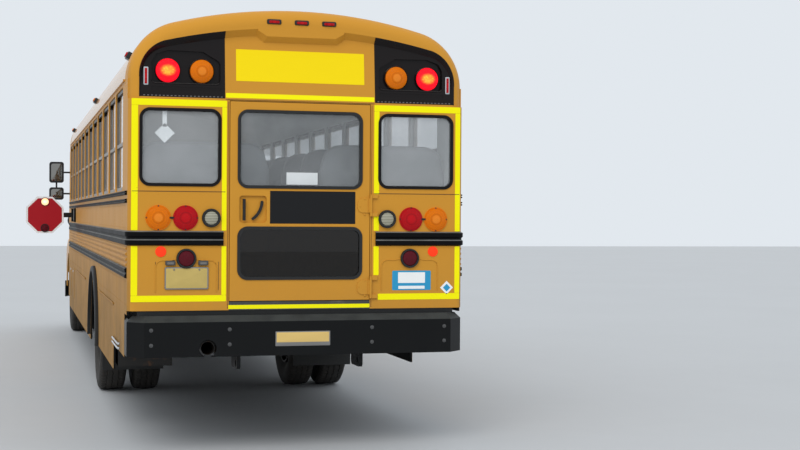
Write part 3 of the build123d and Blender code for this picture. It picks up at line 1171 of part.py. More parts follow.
def fender_blank(inset, low):
    """The left fender's outer shape, moved in by inset, with its edges rounded."""
    front = fender_nose_y + inset
    rear = FIREWALL_Y - HOOD_GAP + (1 if inset else 0)
    with BuildPart() as blank:
        with BuildSketch(along(FENDER_INNER - (1 if inset else 0))):
            Polygon((rear, low), (rear, FENDER_TOP - FENDER_FALL[0] - inset),
                    (FRONT_AXLE_Y + FENDER_LEVEL[0], FENDER_TOP - inset),
                    (FRONT_AXLE_Y - FENDER_LEVEL[1], FENDER_TOP - inset),
                    (front + FENDER_SLOPE[0], FENDER_TOP - FENDER_FALL[1] - inset),
                    (front, FENDER_TOP - FENDER_FACE), (front, FENDER_NOSE_Z if low > 0 else low),
                    (front + FENDER_SLOPE[1], low), align=None)
        extrude(amount=FENDER_OUTER - FENDER_INNER - inset)
        outer = blank.faces().sort_by(Axis.X)[-1]
        fillet(outer.edges().filter_by(lambda e: e.center().Z > 900 and e.center().Y < rear - 5),
               FENDER_ROUND - inset)
    return blank.part


with BuildPart() as hood:
    add(bonnet_blank(0, HOOD_LOW))
    block((-HOOD_SECTIONS[-1][1], HOOD_SECTIONS[-1][1]), (hood_nose_y, hood_nose_y + NOSE_DEPTH),
          (NOSE_Z, HOOD_LOW + 1))
    with BuildPart() as fender:
        add(fender_blank(0, FENDER_LOW))
        rod((FENDER_INNER - 1, FRONT_AXLE_Y, TYRE_RADIUS), (HALF, FRONT_AXLE_Y, TYRE_RADIUS),
            FENDER_ARCH, mode=Mode.SUBTRACT)
    add(fender.part)
    mirror(fender.part, about=Plane.YZ)
    add(bonnet_blank(HOOD_T, NOSE_Z - 1), mode=Mode.SUBTRACT)
    hollow = fender_blank(HOOD_T, 0)
    add(hollow, mode=Mode.SUBTRACT)
    mirror(hollow, about=Plane.YZ, mode=Mode.SUBTRACT)
    block(GRILLE[0], (hood_nose_y - 1, hood_nose_y + HOOD_T + 1), GRILLE[1], mode=Mode.SUBTRACT)
    for start in (FRAME_HALF + BRACKET_GAP, -FRAME_HALF - BRACKET_GAP - BRACKET_T):
        with BuildSketch(along(start)) as bracket:
            pivot_y, pivot_z = HOOD_PIVOT
            Polygon((hood_nose_y + HOOD_T, NOSE_Z), (hood_nose_y + HOOD_T, NOSE_Z + BRACKET_FOOT),
                    (pivot_y + BRACKET_HALF, pivot_z + BRACKET_Z[1]),
                    (pivot_y + BRACKET_HALF, pivot_z - BRACKET_Z[0]),
                    (pivot_y - BRACKET_HALF, pivot_z - BRACKET_Z[0]), align=None)
            with Locations(HOOD_PIVOT):
                Circle(HOOD_PIN_R + RUN_GAP, mode=Mode.SUBTRACT)
        extrude(bracket.sketch, amount=BRACKET_T)
save(hood, "hood")

GRILLE_BARS = 6
bar_pitch = (GRILLE[1][1] - GRILLE[1][0] - 60) / GRILLE_BARS
with BuildPart() as grille:
    block(GRILLE[0], (hood_nose_y, hood_nose_y + HOOD_T), GRILLE[1])
    for k in range(GRILLE_BARS):
        z = GRILLE[1][0] + 30 + bar_pitch * (k + 0.25)
        block((GRILLE[0][0] + 40, GRILLE[0][1] - 40), (hood_nose_y - 1, hood_nose_y + HOOD_T + 1),
              (z, z + bar_pitch / 2), mode=Mode.SUBTRACT)
save(grille, "grille")


def lens(radius, depth, dome):
    """A round lens on Z = 0: a short cylinder under a shallow dome."""
    sphere = (radius**2 + dome**2) / (2 * dome)
    shoulder = depth + dome - sphere + math.sqrt(sphere**2 - radius**2 / 4)
    with BuildPart() as dish:
        with BuildSketch(Plane.XZ) as half:
            with BuildLine():
                Polyline((0, depth + dome), (0, 0), (radius, 0), (radius, depth))
                ThreePointArc((radius, depth), (radius / 2, shoulder), (0, depth + dome))
            make_face()
        revolve(half.sketch, axis=Axis.Z)
    return dish.part


TO_REAR = (-90, 0, 0)     # turns that point a lens backward, and forward
TO_FRONT = (90, 0, 0)
HEADLAMP = (940, 960, 95) # x, z, radius
HEADLAMP_LENS = (12, 22)  # depth of the rim, rise of the dome
with BuildPart() as headlamps:
    for side in (1, -1):
        add(Location((side * HEADLAMP[0], fender_nose_y, HEADLAMP[1]), TO_FRONT)
            * lens(HEADLAMP[2], *HEADLAMP_LENS))
save(headlamps, "headlamps")

# Cross-view mirrors on the fenders and outside mirrors on the body's front corners
BALL_MIRROR = (1090, FRONT_Y + 300, 1600, 105)    # centre and radius
BALL_MIRROR_BACK = 40     # flat back behind the centre
POST_FOOT = (1050, FRONT_AXLE_Y - 310, FENDER_TOP)
ARM_R = 12
with BuildPart() as crossview_mirrors:
    post_top = (POST_FOOT[0], POST_FOOT[1], POST_FOOT[2] + 70)
    rod(POST_FOOT, post_top, ARM_R)
    with Locations(post_top):
        Sphere(ARM_R)
    with Locations(BALL_MIRROR[:3]):
        Sphere(BALL_MIRROR[3])
    back_y = BALL_MIRROR[1] + BALL_MIRROR_BACK
    block((0, HALF), (back_y, back_y + BALL_MIRROR[3]),
          (BALL_MIRROR[2] - BALL_MIRROR[3], BALL_MIRROR[2] + BALL_MIRROR[3]), mode=Mode.SUBTRACT)
    rod(post_top, (BALL_MIRROR[0], back_y - ARM_R, BALL_MIRROR[2]), ARM_R)
    mirror(about=Plane.YZ)
save(crossview_mirrors, "crossview_mirrors")

MIRROR_WIDTH = 196
MIRROR_HEADS = ((2126, 2416), (1890, 2062))
MIRROR_T = 60
mirror_y = BODY_FRONT_Y - 100
with BuildPart() as side_mirrors:
    post_x = MIRROR_REACH - MIRROR_WIDTH / 2
    heads = []
    for head_z in MIRROR_HEADS:
        middle_z = sum(head_z) / 2
        rod((HALF, mirror_y, middle_z), (post_x, mirror_y, middle_z), ARM_R)
        with BuildPart(mode=Mode.PRIVATE) as head:
            block((MIRROR_REACH - MIRROR_WIDTH, MIRROR_REACH),
                  (mirror_y - MIRROR_T / 2, mirror_y + MIRROR_T / 2), head_z)
            fillet(head.edges().filter_by(Axis.Y), 34)
            fillet(head.edges().group_by(Axis.Y)[0], 22)
        heads.append(head.part)
    rod((post_x, mirror_y, MIRROR_HEADS[1][1] - ARM_R), (post_x, mirror_y, MIRROR_HEADS[0][0] + ARM_R),
        ARM_R)
    add(heads)
    mirror(about=Plane.YZ)
save(side_mirrors, "side_mirrors")

# Stop arm
STOP_Y = BODY_FRONT_Y + 1740
STOP_Z = 1680
ARM_PIVOT_X = HALF + 40
BARREL_R = 14
BARREL_HALF = 70
LUG_T = 12
LUG_HALF = 20
STOP_BASE_HALF = 90
STOP_BASE_T = 22
SIGN_T = 12
with BuildPart() as stop_arm_base:
    block((HALF, HALF + STOP_BASE_T), (STOP_Y - STOP_BASE_HALF, STOP_Y + STOP_BASE_HALF),
          (STOP_Z - STOP_BASE_HALF + 2, STOP_Z + STOP_BASE_HALF - 2))
    fillet(stop_arm_base.edges().filter_by(Axis.X), 12)
    for z in (STOP_Z + BARREL_HALF + HINGE_PLAY, STOP_Z - BARREL_HALF - HINGE_PLAY - LUG_T):
        block((HALF, ARM_PIVOT_X + BARREL_R), (STOP_Y - LUG_HALF, STOP_Y + LUG_HALF), (z, z + LUG_T))
save(stop_arm_base, "stop_arm_base")

with BuildPart() as stop_sign:
    with BuildSketch(across(STOP_Y + SIGN_T / 2)):
        with Locations((STOP_SIGN_X, STOP_Z)):
            RegularPolygon(STOP_SIGN_ACROSS / 2, 8, major_radius=False, rotation=22.5)
        with Locations(((ARM_PIVOT_X + STOP_SIGN_X) / 2, STOP_Z)):
            Rectangle(STOP_SIGN_X - ARM_PIVOT_X, 60)
    extrude(amount=SIGN_T)
    rod((ARM_PIVOT_X, STOP_Y, STOP_Z - BARREL_HALF), (ARM_PIVOT_X, STOP_Y, STOP_Z + BARREL_HALF), BARREL_R)
save(stop_sign, "stop_sign")

# Lamps by colour, on the panels beside the door and in the bays of both pairs of pods
LOW_LAMP_Z = 1670
RED_LAMPS = ((820, LOW_LAMP_Z, 88), (813, 1385, 70), (990, 1434, 38))     # x, z, radius
AMBER_LAMPS = ((1009, LOW_LAMP_Z, 88),)
CLEAR_LAMPS = ((640, LOW_LAMP_Z, 66),)
LOW_DEPTH = 16
LOW_DOME = 10
MARKERS = (-200, 0, 200)
MARKER = (90, 34, 3065)   # width, height, z
MARKER_OUT = 16
bay_x = {"red_lamps": HALF - RED_INSET, "amber_lamps": HALF - AMBER_INSET}
for name, places in (("red_lamps", RED_LAMPS), ("amber_lamps", AMBER_LAMPS),
                     ("clear_lamps", CLEAR_LAMPS)):
    with BuildPart() as lamps:
        for x, z, radius in places:
            add(Location((x, REAR_Y, z), TO_REAR) * lens(radius, LOW_DEPTH, LOW_DOME))
        if name in bay_x:
            for y, turn in ((REAR_Y - BAY_DEPTH, TO_REAR), (CAP_NOSE_Y + BAY_DEPTH, TO_FRONT)):
                add(Location((bay_x[name], y, LAMP_Z), turn) * lens(LAMP_R, LENS_T, LENS_DOME))
        mirror(about=Plane.YZ)
        if name in bay_x:
            face_y, cap = (REAR_Y, rear_cap) if name == "red_lamps" else (CAP_NOSE_Y, front_cap)
            for x in MARKERS:
                block((x - MARKER[0] / 2, x + MARKER[0] / 2), (face_y - MARKER_OUT, face_y + MARKER_OUT),
                      (MARKER[2] - MARKER[1] / 2, MARKER[2] + MARKER[1] / 2))
            add(cap.part, mode=Mode.SUBTRACT)
    save(lamps, name)

# Steering knuckles: fork round the axle's boss, kingpin, spindle and steering arm
FORK_GAP = 5
FORK_T = 36
FORK_BACK = (58, 90)      # back of the fork, out from the kingpin
SPINDLE_END = HALF - 69
ARM_BACK = 190
ARM_HALF = 22
ARM_T = 20
BALL_R = 12
ROD_Z = TYRE_RADIUS - 38
ROD_R = 14
ROD_EYE = (26, 24)        # radius and height of the rod's eyes
for side, name in ((1, "left"), (-1, "right")):
    with BuildPart() as knuckle:
        reach = BOSS_HALF + FORK_GAP + FORK_T
        low = TYRE_RADIUS - reach
        with Locations((side * kingpin_x, FRONT_AXLE_Y, TYRE_RADIUS)):
            Cylinder(KINGPIN, 2 * reach)
        for z in (TYRE_RADIUS + BOSS_HALF + FORK_GAP, low):
            with Locations((side * kingpin_x, FRONT_AXLE_Y, z + FORK_T / 2)):
                Cylinder(BOSS, FORK_T)
            block(sorted((side * kingpin_x, side * (kingpin_x + FORK_BACK[1]))),
                  (FRONT_AXLE_Y - BOSS, FRONT_AXLE_Y + BOSS), (z, z + FORK_T))
        block(sorted((side * (kingpin_x + FORK_BACK[0]), side * (kingpin_x + FORK_BACK[1]))),
              (FRONT_AXLE_Y - BOSS, FRONT_AXLE_Y + BOSS), (low, TYRE_RADIUS + reach))
        rod((side * (kingpin_x + FORK_BACK[1] - 5), FRONT_AXLE_Y, TYRE_RADIUS),
            (side * SPINDLE_END, FRONT_AXLE_Y, TYRE_RADIUS), SPINDLE)
        block(sorted((side * (kingpin_x - ARM_HALF), side * (kingpin_x + ARM_HALF))),
              (FRONT_AXLE_Y, FRONT_AXLE_Y + ARM_BACK + ARM_HALF), (low, low + ARM_T))
        with Locations((side * kingpin_x, FRONT_AXLE_Y + ARM_BACK, (low + ROD_Z + ROD_R) / 2)):
            Cylinder(BALL_R, ROD_Z + ROD_R - low)
    save(knuckle, f"{name}_knuckle")

with BuildPart() as tie_rod:
    rod((-kingpin_x, FRONT_AXLE_Y + ARM_BACK, ROD_Z), (kingpin_x, FRONT_AXLE_Y + ARM_BACK, ROD_Z), ROD_R)
    for side in (1, -1):
        with Locations((side * kingpin_x, FRONT_AXLE_Y + ARM_BACK, ROD_Z)):
            Cylinder(*ROD_EYE)
            Cylinder(BALL_R + RUN_GAP, 40, mode=Mode.SUBTRACT)
save(tie_rod, "tie_rod")

# Wheels and tyres, turned about the axle line
BARREL_T = 16
DISC_T = 12
HAND_HOLES = 8
HAND_HOLE = (205, 26)     # centre from the axle, radius
HUB_R = 110
TREAD_CROWN = 4
TREAD_EDGE = 34           # tread's edge inside the tyre's widest part
front_bore = SPINDLE + RUN_GAP
rear_bore = REAR_SPINDLE + RUN_GAP
dual_rows = (DUAL_X - DUAL_SPACING / 2, DUAL_X + DUAL_SPACING / 2)


def tyre(centre_x):
    """A tyre turned from its section: bead, bulged wall, rounded shoulder and tread."""
    half, shoulder = TYRE_WIDTH / 2, TYRE_WIDTH / 2 - TREAD_EDGE
    wall_r = (RIM_RADIUS + TYRE_RADIUS) / 2
    with BuildSketch(Plane.XY) as profile:
        with BuildLine():
            for out in (1, -1):
                wall = (centre_x + out * half, wall_r)
                TangentArc(wall, (centre_x + out * RIM_HALF, RIM_RADIUS), tangent=(0, -1))
                TangentArc(wall, (centre_x + out * shoulder, TYRE_RADIUS - TREAD_CROWN), tangent=(0, 1))
            ThreePointArc((centre_x - shoulder, TYRE_RADIUS - TREAD_CROWN), (centre_x, TYRE_RADIUS),
                          (centre_x + shoulder, TYRE_RADIUS - TREAD_CROWN))
            Line((centre_x - RIM_HALF, RIM_RADIUS), (centre_x + RIM_HALF, RIM_RADIUS))
        make_face()
    return revolve(profile.sketch, axis=Axis.X, mode=Mode.PRIVATE)


def turned(rings):
    """Rings turned about the X axis; each is (x low, x high, inner radius, outer radius)."""
    with BuildPart() as ring_set:
        with BuildSketch(Plane.XY) as section:
            for low, high, inner, outer in rings:
                with Locations(((low + high) / 2, (inner + outer) / 2)):
                    Rectangle(high - low, outer - inner)
        revolve(section.sketch, axis=Axis.X)
    return ring_set.part


def barrel(centre_x):
    """A rim's barrel as a ring."""
    return (centre_x - RIM_HALF, centre_x + RIM_HALF, RIM_RADIUS - BARREL_T, RIM_RADIUS)


def wheel_part(rings, side, axle_y):
    """Rings with hand holes through their discs, on the left or the right end of an axle."""
    with BuildPart() as wheel:
        add(turned(rings))
        with BuildSketch(Plane.YZ) as holes:
            with PolarLocations(HAND_HOLE[0], HAND_HOLES):
                Circle(HAND_HOLE[1])
        extrude(holes.sketch, amount=WIDTH, mode=Mode.SUBTRACT)
    return Location((0, axle_y, TYRE_RADIUS)) * (wheel.part if side == 1 else wheel.part.mirror(Plane.YZ))


disc_x = FRONT_WHEEL_X + 75
front_rings = ((disc_x, disc_x + DISC_T, front_bore, RIM_RADIUS - 1),
               (disc_x - 105, disc_x + 35, front_bore, HUB_R), barrel(FRONT_WHEEL_X))
rear_rings = ((DUAL_X - DISC_T, DUAL_X + DISC_T, rear_bore, RIM_RADIUS - 1),
              (DUAL_X - DUAL_SPACING / 2 + RIM_HALF - 5, DUAL_X + DUAL_SPACING / 2 - RIM_HALF + 5,
               RIM_RADIUS - BARREL_T, RIM_RADIUS - 1),
              (DUAL_X - 75, DUAL_X + 95, rear_bore, HUB_R), (DUAL_X + 95, DUAL_X + 135, 0, HUB_R),
              barrel(dual_rows[0]), barrel(dual_rows[1]))
for side, name in ((1, "left"), (-1, "right")):
    with BuildPart() as front_tyre:
        add(Location((0, FRONT_AXLE_Y, TYRE_RADIUS)) * tyre(side * FRONT_WHEEL_X))
    save(front_tyre, f"{name}_front_tyre")
    with BuildPart() as rear_tyres:
        for x in dual_rows:
            add(Location((0, REAR_AXLE_Y, TYRE_RADIUS)) * tyre(side * x))
    save(rear_tyres, f"{name}_rear_tyres")
    with BuildPart() as front_wheel:
        add(wheel_part(front_rings, side, FRONT_AXLE_Y))
    save(front_wheel, f"{name}_front_wheel")
    with BuildPart() as rear_wheels:
        add(wheel_part(rear_rings, side, REAR_AXLE_Y))
    save(rear_wheels, f"{name}_rear_wheels")
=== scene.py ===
"""A conventional school bus in the finish of the photographed one.

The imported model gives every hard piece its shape.  This script gives each of them its finish
and adds what the solids leave out: tape, lenses, rivets, seals, tread, padded benches and the
small hardware of the body.  Metres, +Z up, the bus faces -Y and +X is its left side.
"""
import math
from types import SimpleNamespace

import bpy
import numpy as np
from mathutils import Matrix, Vector


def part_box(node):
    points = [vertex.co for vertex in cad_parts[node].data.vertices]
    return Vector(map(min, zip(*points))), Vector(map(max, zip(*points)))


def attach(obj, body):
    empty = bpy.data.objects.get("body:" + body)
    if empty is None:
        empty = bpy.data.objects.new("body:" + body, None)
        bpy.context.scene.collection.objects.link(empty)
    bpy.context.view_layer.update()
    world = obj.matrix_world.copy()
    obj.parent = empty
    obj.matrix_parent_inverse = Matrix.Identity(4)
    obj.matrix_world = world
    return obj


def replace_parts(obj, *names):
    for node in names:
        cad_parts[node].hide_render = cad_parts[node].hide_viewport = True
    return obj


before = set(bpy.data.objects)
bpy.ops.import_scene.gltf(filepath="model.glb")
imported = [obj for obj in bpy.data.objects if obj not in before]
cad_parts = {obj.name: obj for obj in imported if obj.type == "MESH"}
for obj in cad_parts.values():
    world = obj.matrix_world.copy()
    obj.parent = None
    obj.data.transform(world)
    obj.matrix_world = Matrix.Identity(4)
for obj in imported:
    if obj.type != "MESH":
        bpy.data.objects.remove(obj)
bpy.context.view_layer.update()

# Places on the bus; x is measured from its centreline
CENTRE = -0.16175          # the centreline in the shared frame
HALF = 1.219               # side panels
REAR = 5.93                # rear face
BUMPER = 6.0               # rear bumper's face
NOSE = -4.24               # front cap
BODY_FRONT = -4.06
ROOF, EAVE, FLOOR = 3.165, 2.64, 1.08
SKIRT = 1.019              # below it, what lies behind the side sheets is black
CROWN_R, CORNER_R = 3.5125, 0.42           # the roof's crown arc and corner arc
REAR_AXLE, FRONT_AXLE, AXLE_Z = 1.98, -5.03, 0.508
WINDOW_PITCH = 0.791
WINDOW_HEAD = 2.555        # lower edge of the black painted shade along the side windows' heads
SINK, SINK_FRONT = 0.0913, 0.1043          # how far the caps' middles lean in for each metre up
HANDS = (("left", 1), ("right", -1))


# ---------------- camera and light

EYE = (1.8207, 15.660, 1.69)
TURNS = (15.62485, -0.35518, 0.38477)      # yaw, pitch and roll from straight ahead, in degrees
LENS, SENSOR = 62.28, 36                   # millimetres


def put(name, data):
    """A new object in the scene."""
    thing = bpy.data.objects.new(name, data)
    bpy.context.collection.objects.link(thing)
    return thing


def put_camera():
    """The camera at the photograph's place: turned from straight ahead by yaw, pitch and roll."""
    yaw, pitch, roll = (math.radians(a) for a in TURNS)
    up = Vector((0, 0, 1))
    right = Vector((-math.cos(yaw), math.sin(yaw), 0))
    level = Vector((-math.sin(yaw), -math.cos(yaw), 0))
    ahead = level * math.cos(pitch) + up * math.sin(pitch)
    top = up * math.cos(pitch) - level * math.sin(pitch)
    right, top = (right * math.cos(roll) + top * math.sin(roll),
                  top * math.cos(roll) - right * math.sin(roll))
    camera = put("camera", bpy.data.cameras.new("camera"))
    camera.data.lens = LENS
    camera.data.sensor_width = SENSOR
    camera.data.sensor_fit = "HORIZONTAL"
    camera.data.clip_end = 200
    turn = Matrix((right, top, -ahead)).transposed()
    camera.matrix_world = Matrix.Translation(EYE) @ turn.to_4x4()
    bpy.context.scene.camera = camera


def put_light(name, kind, energy, place, aim, size, color=(1, 1, 1)):
    """A lamp at a place that shines towards a point; size is its width or the sun's angle."""
    lamp = bpy.data.lights.new(name, kind)
    lamp.energy = energy
    lamp.color = color
    setattr(lamp, "angle" if kind == "SUN" else "size", size)
    holder = put(name, lamp)
    holder.location = place
    holder.visible_glossy = False
    holder.rotation_euler = (Vector(aim) - Vector(place)).to_track_quat("-Z", "Y").to_euler()


put_camera()
bpy.context.scene.view_settings.view_transform = "Standard"
world = bpy.data.worlds.new("sky")
bpy.context.scene.world = world
world.use_nodes = True
world.node_tree.nodes["Background"].inputs["Color"].default_value = (0.80, 0.85, 0.90, 1)
world.node_tree.nodes["Background"].inputs["Strength"].default_value = 0.95
put_light("soft_sun", "SUN", 1.1, (8, 18, 22), (0, 0, 0), math.radians(35), (1, 0.98, 0.95))
put_light("soft_side", "AREA", 420, (13, 17, 11), (0.5, 4, 1.5), 12)


# ---------------- shader groups

class Value:
    """A node's output that takes part in sums: each sign adds a Math node, and a comparison
    gives 1 or 0."""

    def __init__(self, tree, socket):
        self.tree, self.socket = tree, socket

    def __add__(self, other):
        return self.tree.math("ADD", self, other)

    def __sub__(self, other):
        return self.tree.math("SUBTRACT", self, other)

    def __rsub__(self, other):
        return self.tree.math("SUBTRACT", other, self)

    def __mul__(self, other):
        return self.tree.math("MULTIPLY", self, other)

    def __truediv__(self, other):
        return self.tree.math("DIVIDE", self, other)

    def __pow__(self, other):
        return self.tree.math("POWER", self, other)

    def __gt__(self, other):
        return self.tree.math("GREATER_THAN", self, other)

    def __lt__(self, other):
        return self.tree.math("LESS_THAN", self, other)

    def __abs__(self):
        return self.tree.math("ABSOLUTE", self)

    def at_least(self, limit):
        return self.tree.math("MAXIMUM", self, limit)


class Tree:
    """Short words for adding and wiring nodes in a tree."""

    def __init__(self, tree):
        self.tree = tree

    def feed(self, socket, value):
        """Wires a socket, or sets its value; a colour may leave out its alpha."""
        if isinstance(value, Value):
            self.tree.links.new(value.socket, socket)
        elif socket.type == "RGBA" and len(value) == 3:
            socket.default_value = (*value, 1)
        else:
            socket.default_value = value

    def fill(self, sockets, **values):
        """Feeds sockets by their names, with _ for a space."""
        for key, value in values.items():
            self.feed(sockets[key.replace("_", " ")], value)

    def add(self, kind, settings=None, **inputs):
        """A node of that kind with its settings and inputs."""
        node = self.tree.nodes.new(f"ShaderNode{kind}")
        for key, value in (settings or {}).items():
            setattr(node, key, value)
        self.fill(node.inputs, **inputs)
        return node

    def get(self, kind, port=0, settings=None, **inputs):
        """One output of a new node."""
        return Value(self, self.add(kind, settings, **inputs).outputs[port])

    def use(self, group, **inputs):
        """Places a group in the tree and returns its outputs by name."""
        outputs = self.add("Group", {"node_tree": group}, **inputs).outputs
        return {socket.name: Value(self, socket) for socket in outputs}

    def math(self, operation, *values):
        """A Math node's result."""
        node = self.add("Math", {"operation": operation})
        for socket, value in zip(node.inputs, values):
            self.feed(socket, value)
        return Value(self, node.outputs[0])

    def length(self, u, v):
        """The length of (u, v): the root of the sum of their squares."""
        return self.math("SQRT", u * u + v * v)

    def wave(self, value, rate):
        """The sine of a value times a rate."""
        return self.math("SINE", value * rate)

    def mix(self, factor, first, second, blend="MIX"):
        """A colour between two colours."""
        node = self.add("Mix", {"data_type": "RGBA", "blend_type": blend})
        for k, value in ((0, factor), (6, first), (7, second)):    # the sockets of its colour mode
            self.feed(node.inputs[k], value)
        return Value(self, node.outputs[2])

    def ramp(self, value, low, high, out_low=0.0, out_high=1.0):
        """A smooth step of a value from low to high."""
        return self.get("MapRange", 0, {"interpolation_type": "SMOOTHSTEP"}, Value=value,
                        From_Min=low, From_Max=high, To_Min=out_low, To_Max=out_high)

    def point(self):
        """The point on the piece, in metres."""
        return self.get("TexCoord", "Object")

    def face_map(self):
        """The piece's own flat map, from -1 to 1 over each shape's face."""
        return self.get("UVMap", 0, {"uv_map": "face"})

    def axes(self, vector=None):
        """The three parts of a vector, or else of the point on the piece."""
        split = self.add("SeparateXYZ", Vector=vector or self.point())
        return [Value(self, split.outputs[axis]) for axis in "XYZ"]

    def noise(self, scale, detail, rough=0.5, vector=None):
        """Noise from 0 to 1 on the piece's own coordinates."""
        return self.get("TexNoise", "Fac", Vector=vector or self.point(), Scale=scale,
                        Detail=detail, Roughness=rough)

    def cells(self, scale):
        """The distance from the edges of small cells."""
        return self.get("TexVoronoi", "Distance", {"feature": "DISTANCE_TO_EDGE"}, Scale=scale,
                        Vector=self.point())

    def bump(self, height, strength, distance):
        """A normal from a height."""
        return self.get("Bump", Height=height, Strength=strength, Distance=distance)


WHITE = (1, 1, 1, 1)


def new_group(name, inputs, outputs):
    """An empty shader group with the named sockets: its tree, its inputs and its outputs."""
    group = bpy.data.node_groups.new(name, "ShaderNodeTree")
    for label, value in inputs.items():
        kind = "Color" if isinstance(value, tuple) else "Float"
        group.interface.new_socket(
            label, in_out="INPUT", socket_type=f"NodeSocket{kind}").default_value = value
    for label in outputs:
        kind = "Color" if label == "Color" else "Float"
        group.interface.new_socket(label, in_out="OUTPUT", socket_type=f"NodeSocket{kind}")
    t = Tree(group)
    ins, outs = (group.nodes.new(f"NodeGroup{end}") for end in ("Input", "Output"))
    return t, {label: Value(t, ins.outputs[label]) for label in inputs}, outs.inputs


def make_uneven():
    """Colour that is a little lighter and darker in soft patches."""
    t, ins, outs = new_group("uneven_colour", {"Color": WHITE, "Scale": 2.0, "Amount": 0.1},
                             ("Color",))
    level = (t.noise(ins["Scale"], 4) - 0.5) * ins["Amount"] + 1.0
    shade = t.get("CombineColor", Red=level, Green=level, Blue=level)
    t.fill(outs, Color=t.mix(1.0, ins["Color"], shade, "MULTIPLY"))
    return t.tree


def make_film():
    """Road film: thick at the bottom, thinning out to a height, in streaks and patches."""
    t, ins, outs = new_group("road_film", {"Color": WHITE, "Film": (0.20, 0.17, 0.13, 1),
                                           "Top": 1.2, "Amount": 0.5}, ("Color", "Mask"))
    fall = (1.0 - t.axes()[2] / ins["Top"]).at_least(0.0) ** 0.8
    stretched = t.get("Mapping", Vector=t.point(), Scale=(9, 9, 1.2))
    streak = t.ramp(t.noise(1.0, 5, 0.6, stretched), 0.25, 0.85, 0.35, 1.0)
    spots = t.ramp(t.noise(60.0, 2), 0.45, 0.75, 0.75, 1.15)
    mask = t.math("MINIMUM", fall * streak * (spots * ins["Amount"]), 0.92)
    t.fill(outs, Color=t.mix(mask, ins["Color"], ins["Film"]), Mask=mask)
    return t.tree


def make_skin():
    """The fine unevenness of sprayed or moulded surfaces, as a height and as a roughness."""
    t, ins, outs = new_group("fine_skin", {"Scale": 300.0, "Smooth": 0.2, "Rough": 0.3},
                             ("Height", "Roughness"))
    wide = t.noise(3.0, 4) * (ins["Rough"] - ins["Smooth"])
    t.fill(outs, Height=t.noise(ins["Scale"], 2), Roughness=ins["Smooth"] + wide)
    return t.tree


def make_inside():
    """1 on the cabin's lining, 0 outside: within the walls, above the floor, under the roof's
    crown arc and, beyond the eaves, its corner arcs."""
    t, _, outs = new_group("cabin_lining", {}, ("Mask",))
    x, y, z = t.axes()
    x = abs(x - CENTRE)
    corner_x, corner_z = x - (HALF - CORNER_R), z - EAVE
    beyond = ((corner_x > 0.0) * (corner_z > 0.0)
              * (t.length(corner_x, corner_z) > CORNER_R - 0.02))
    within = ((x < HALF - 0.04) * (y < REAR - 0.045) * (y > NOSE + 0.05) * (z > FLOOR - 0.05)
              * (t.length(x, z - (ROOF - CROWN_R)) < CROWN_R - 0.02))
    t.fill(outs, Mask=within * (1.0 - beyond))
    return t.tree


def make_rings():
    """Height of a lens: fine rings round the middle of its own map, with a ribbed centre."""
    t, ins, outs = new_group("lens_rings", {"Rings": 40.0, "Cells": 60.0}, ("Height", "Radius"))
    u, v, _ = t.axes(t.face_map())
    radius = t.length(u, v)
    cells = t.wave(u, ins["Cells"]) * t.wave(v, ins["Cells"])
    t.fill(outs, Height=t.mix(radius < 0.55, t.wave(radius, ins["Rings"]), cells), Radius=radius)
    return t.tree


UNEVEN, FILM, SKIN, INSIDE, RINGS = (
    make_uneven(), make_film(), make_skin(), make_inside(), make_rings())

# ---------------- finishes

FINISHES = {}
LAP_SHADE = (0.25, 0.12, 0.02)
# Road spray on the sides, deepened into painted shade and a painted brown reflection of the ground
ROAD_SPRAY_AND_SHADE = (0.17, 0.115, 0.055)
# Black undercoat behind the skirts, also used as painted shade under the body
UNDERCOAT_AND_SHADE = (0.008, 0.008, 0.008)
ARM_END = 1.366            # where the stop sign's arm meets its octagon


def new_finish(name):
    """A new material, kept under its name; returns its tree and its shader's sockets."""
    material = bpy.data.materials.new(name)
    material.use_nodes = True
    FINISHES[name] = material
    return Tree(material.node_tree), material.node_tree.nodes["Principled BSDF"].inputs


def finish(name, color, smooth, rough, skin=250.0, bump=0.15, *, metal=0.0, coat=0.0, gloss=0.5,
           depth=0.0004, patches=(2.0, 0.12), dust=None, film=(0.20, 0.17, 0.13), lining=None,
           extra=None, **sockets):
    """A finish: uneven colour under road film, with its own roughness range and fine skin."""
    t, shader = new_finish(name)
    skin_out = t.use(SKIN, Scale=skin, Smooth=smooth, Rough=rough)
    look = SimpleNamespace(
        color=t.use(UNEVEN, Color=color, Scale=patches[0], Amount=patches[1])["Color"],
        rough=skin_out["Roughness"], height=skin_out["Height"])
    if lining:
        inside = t.use(INSIDE)["Mask"]
        look.color = t.mix(inside, look.color, lining)
        look.rough = look.rough.at_least(inside * 0.45)
        if coat:
            coat = (1.0 - inside) * coat
    if dust:
        film_out = t.use(FILM, Color=look.color, Film=film, Top=dust[0], Amount=dust[1])
        look.color = film_out["Color"]
        look.rough += film_out["Mask"] * 0.4
    if extra:
        extra(t, look)
    t.fill(shader, Base_Color=look.color, Roughness=look.rough, Metallic=metal,
           Normal=t.bump(look.height, bump, depth), Specular_IOR_Level=gloss, Coat_Weight=coat,
           Coat_Roughness=0.06, **sockets)


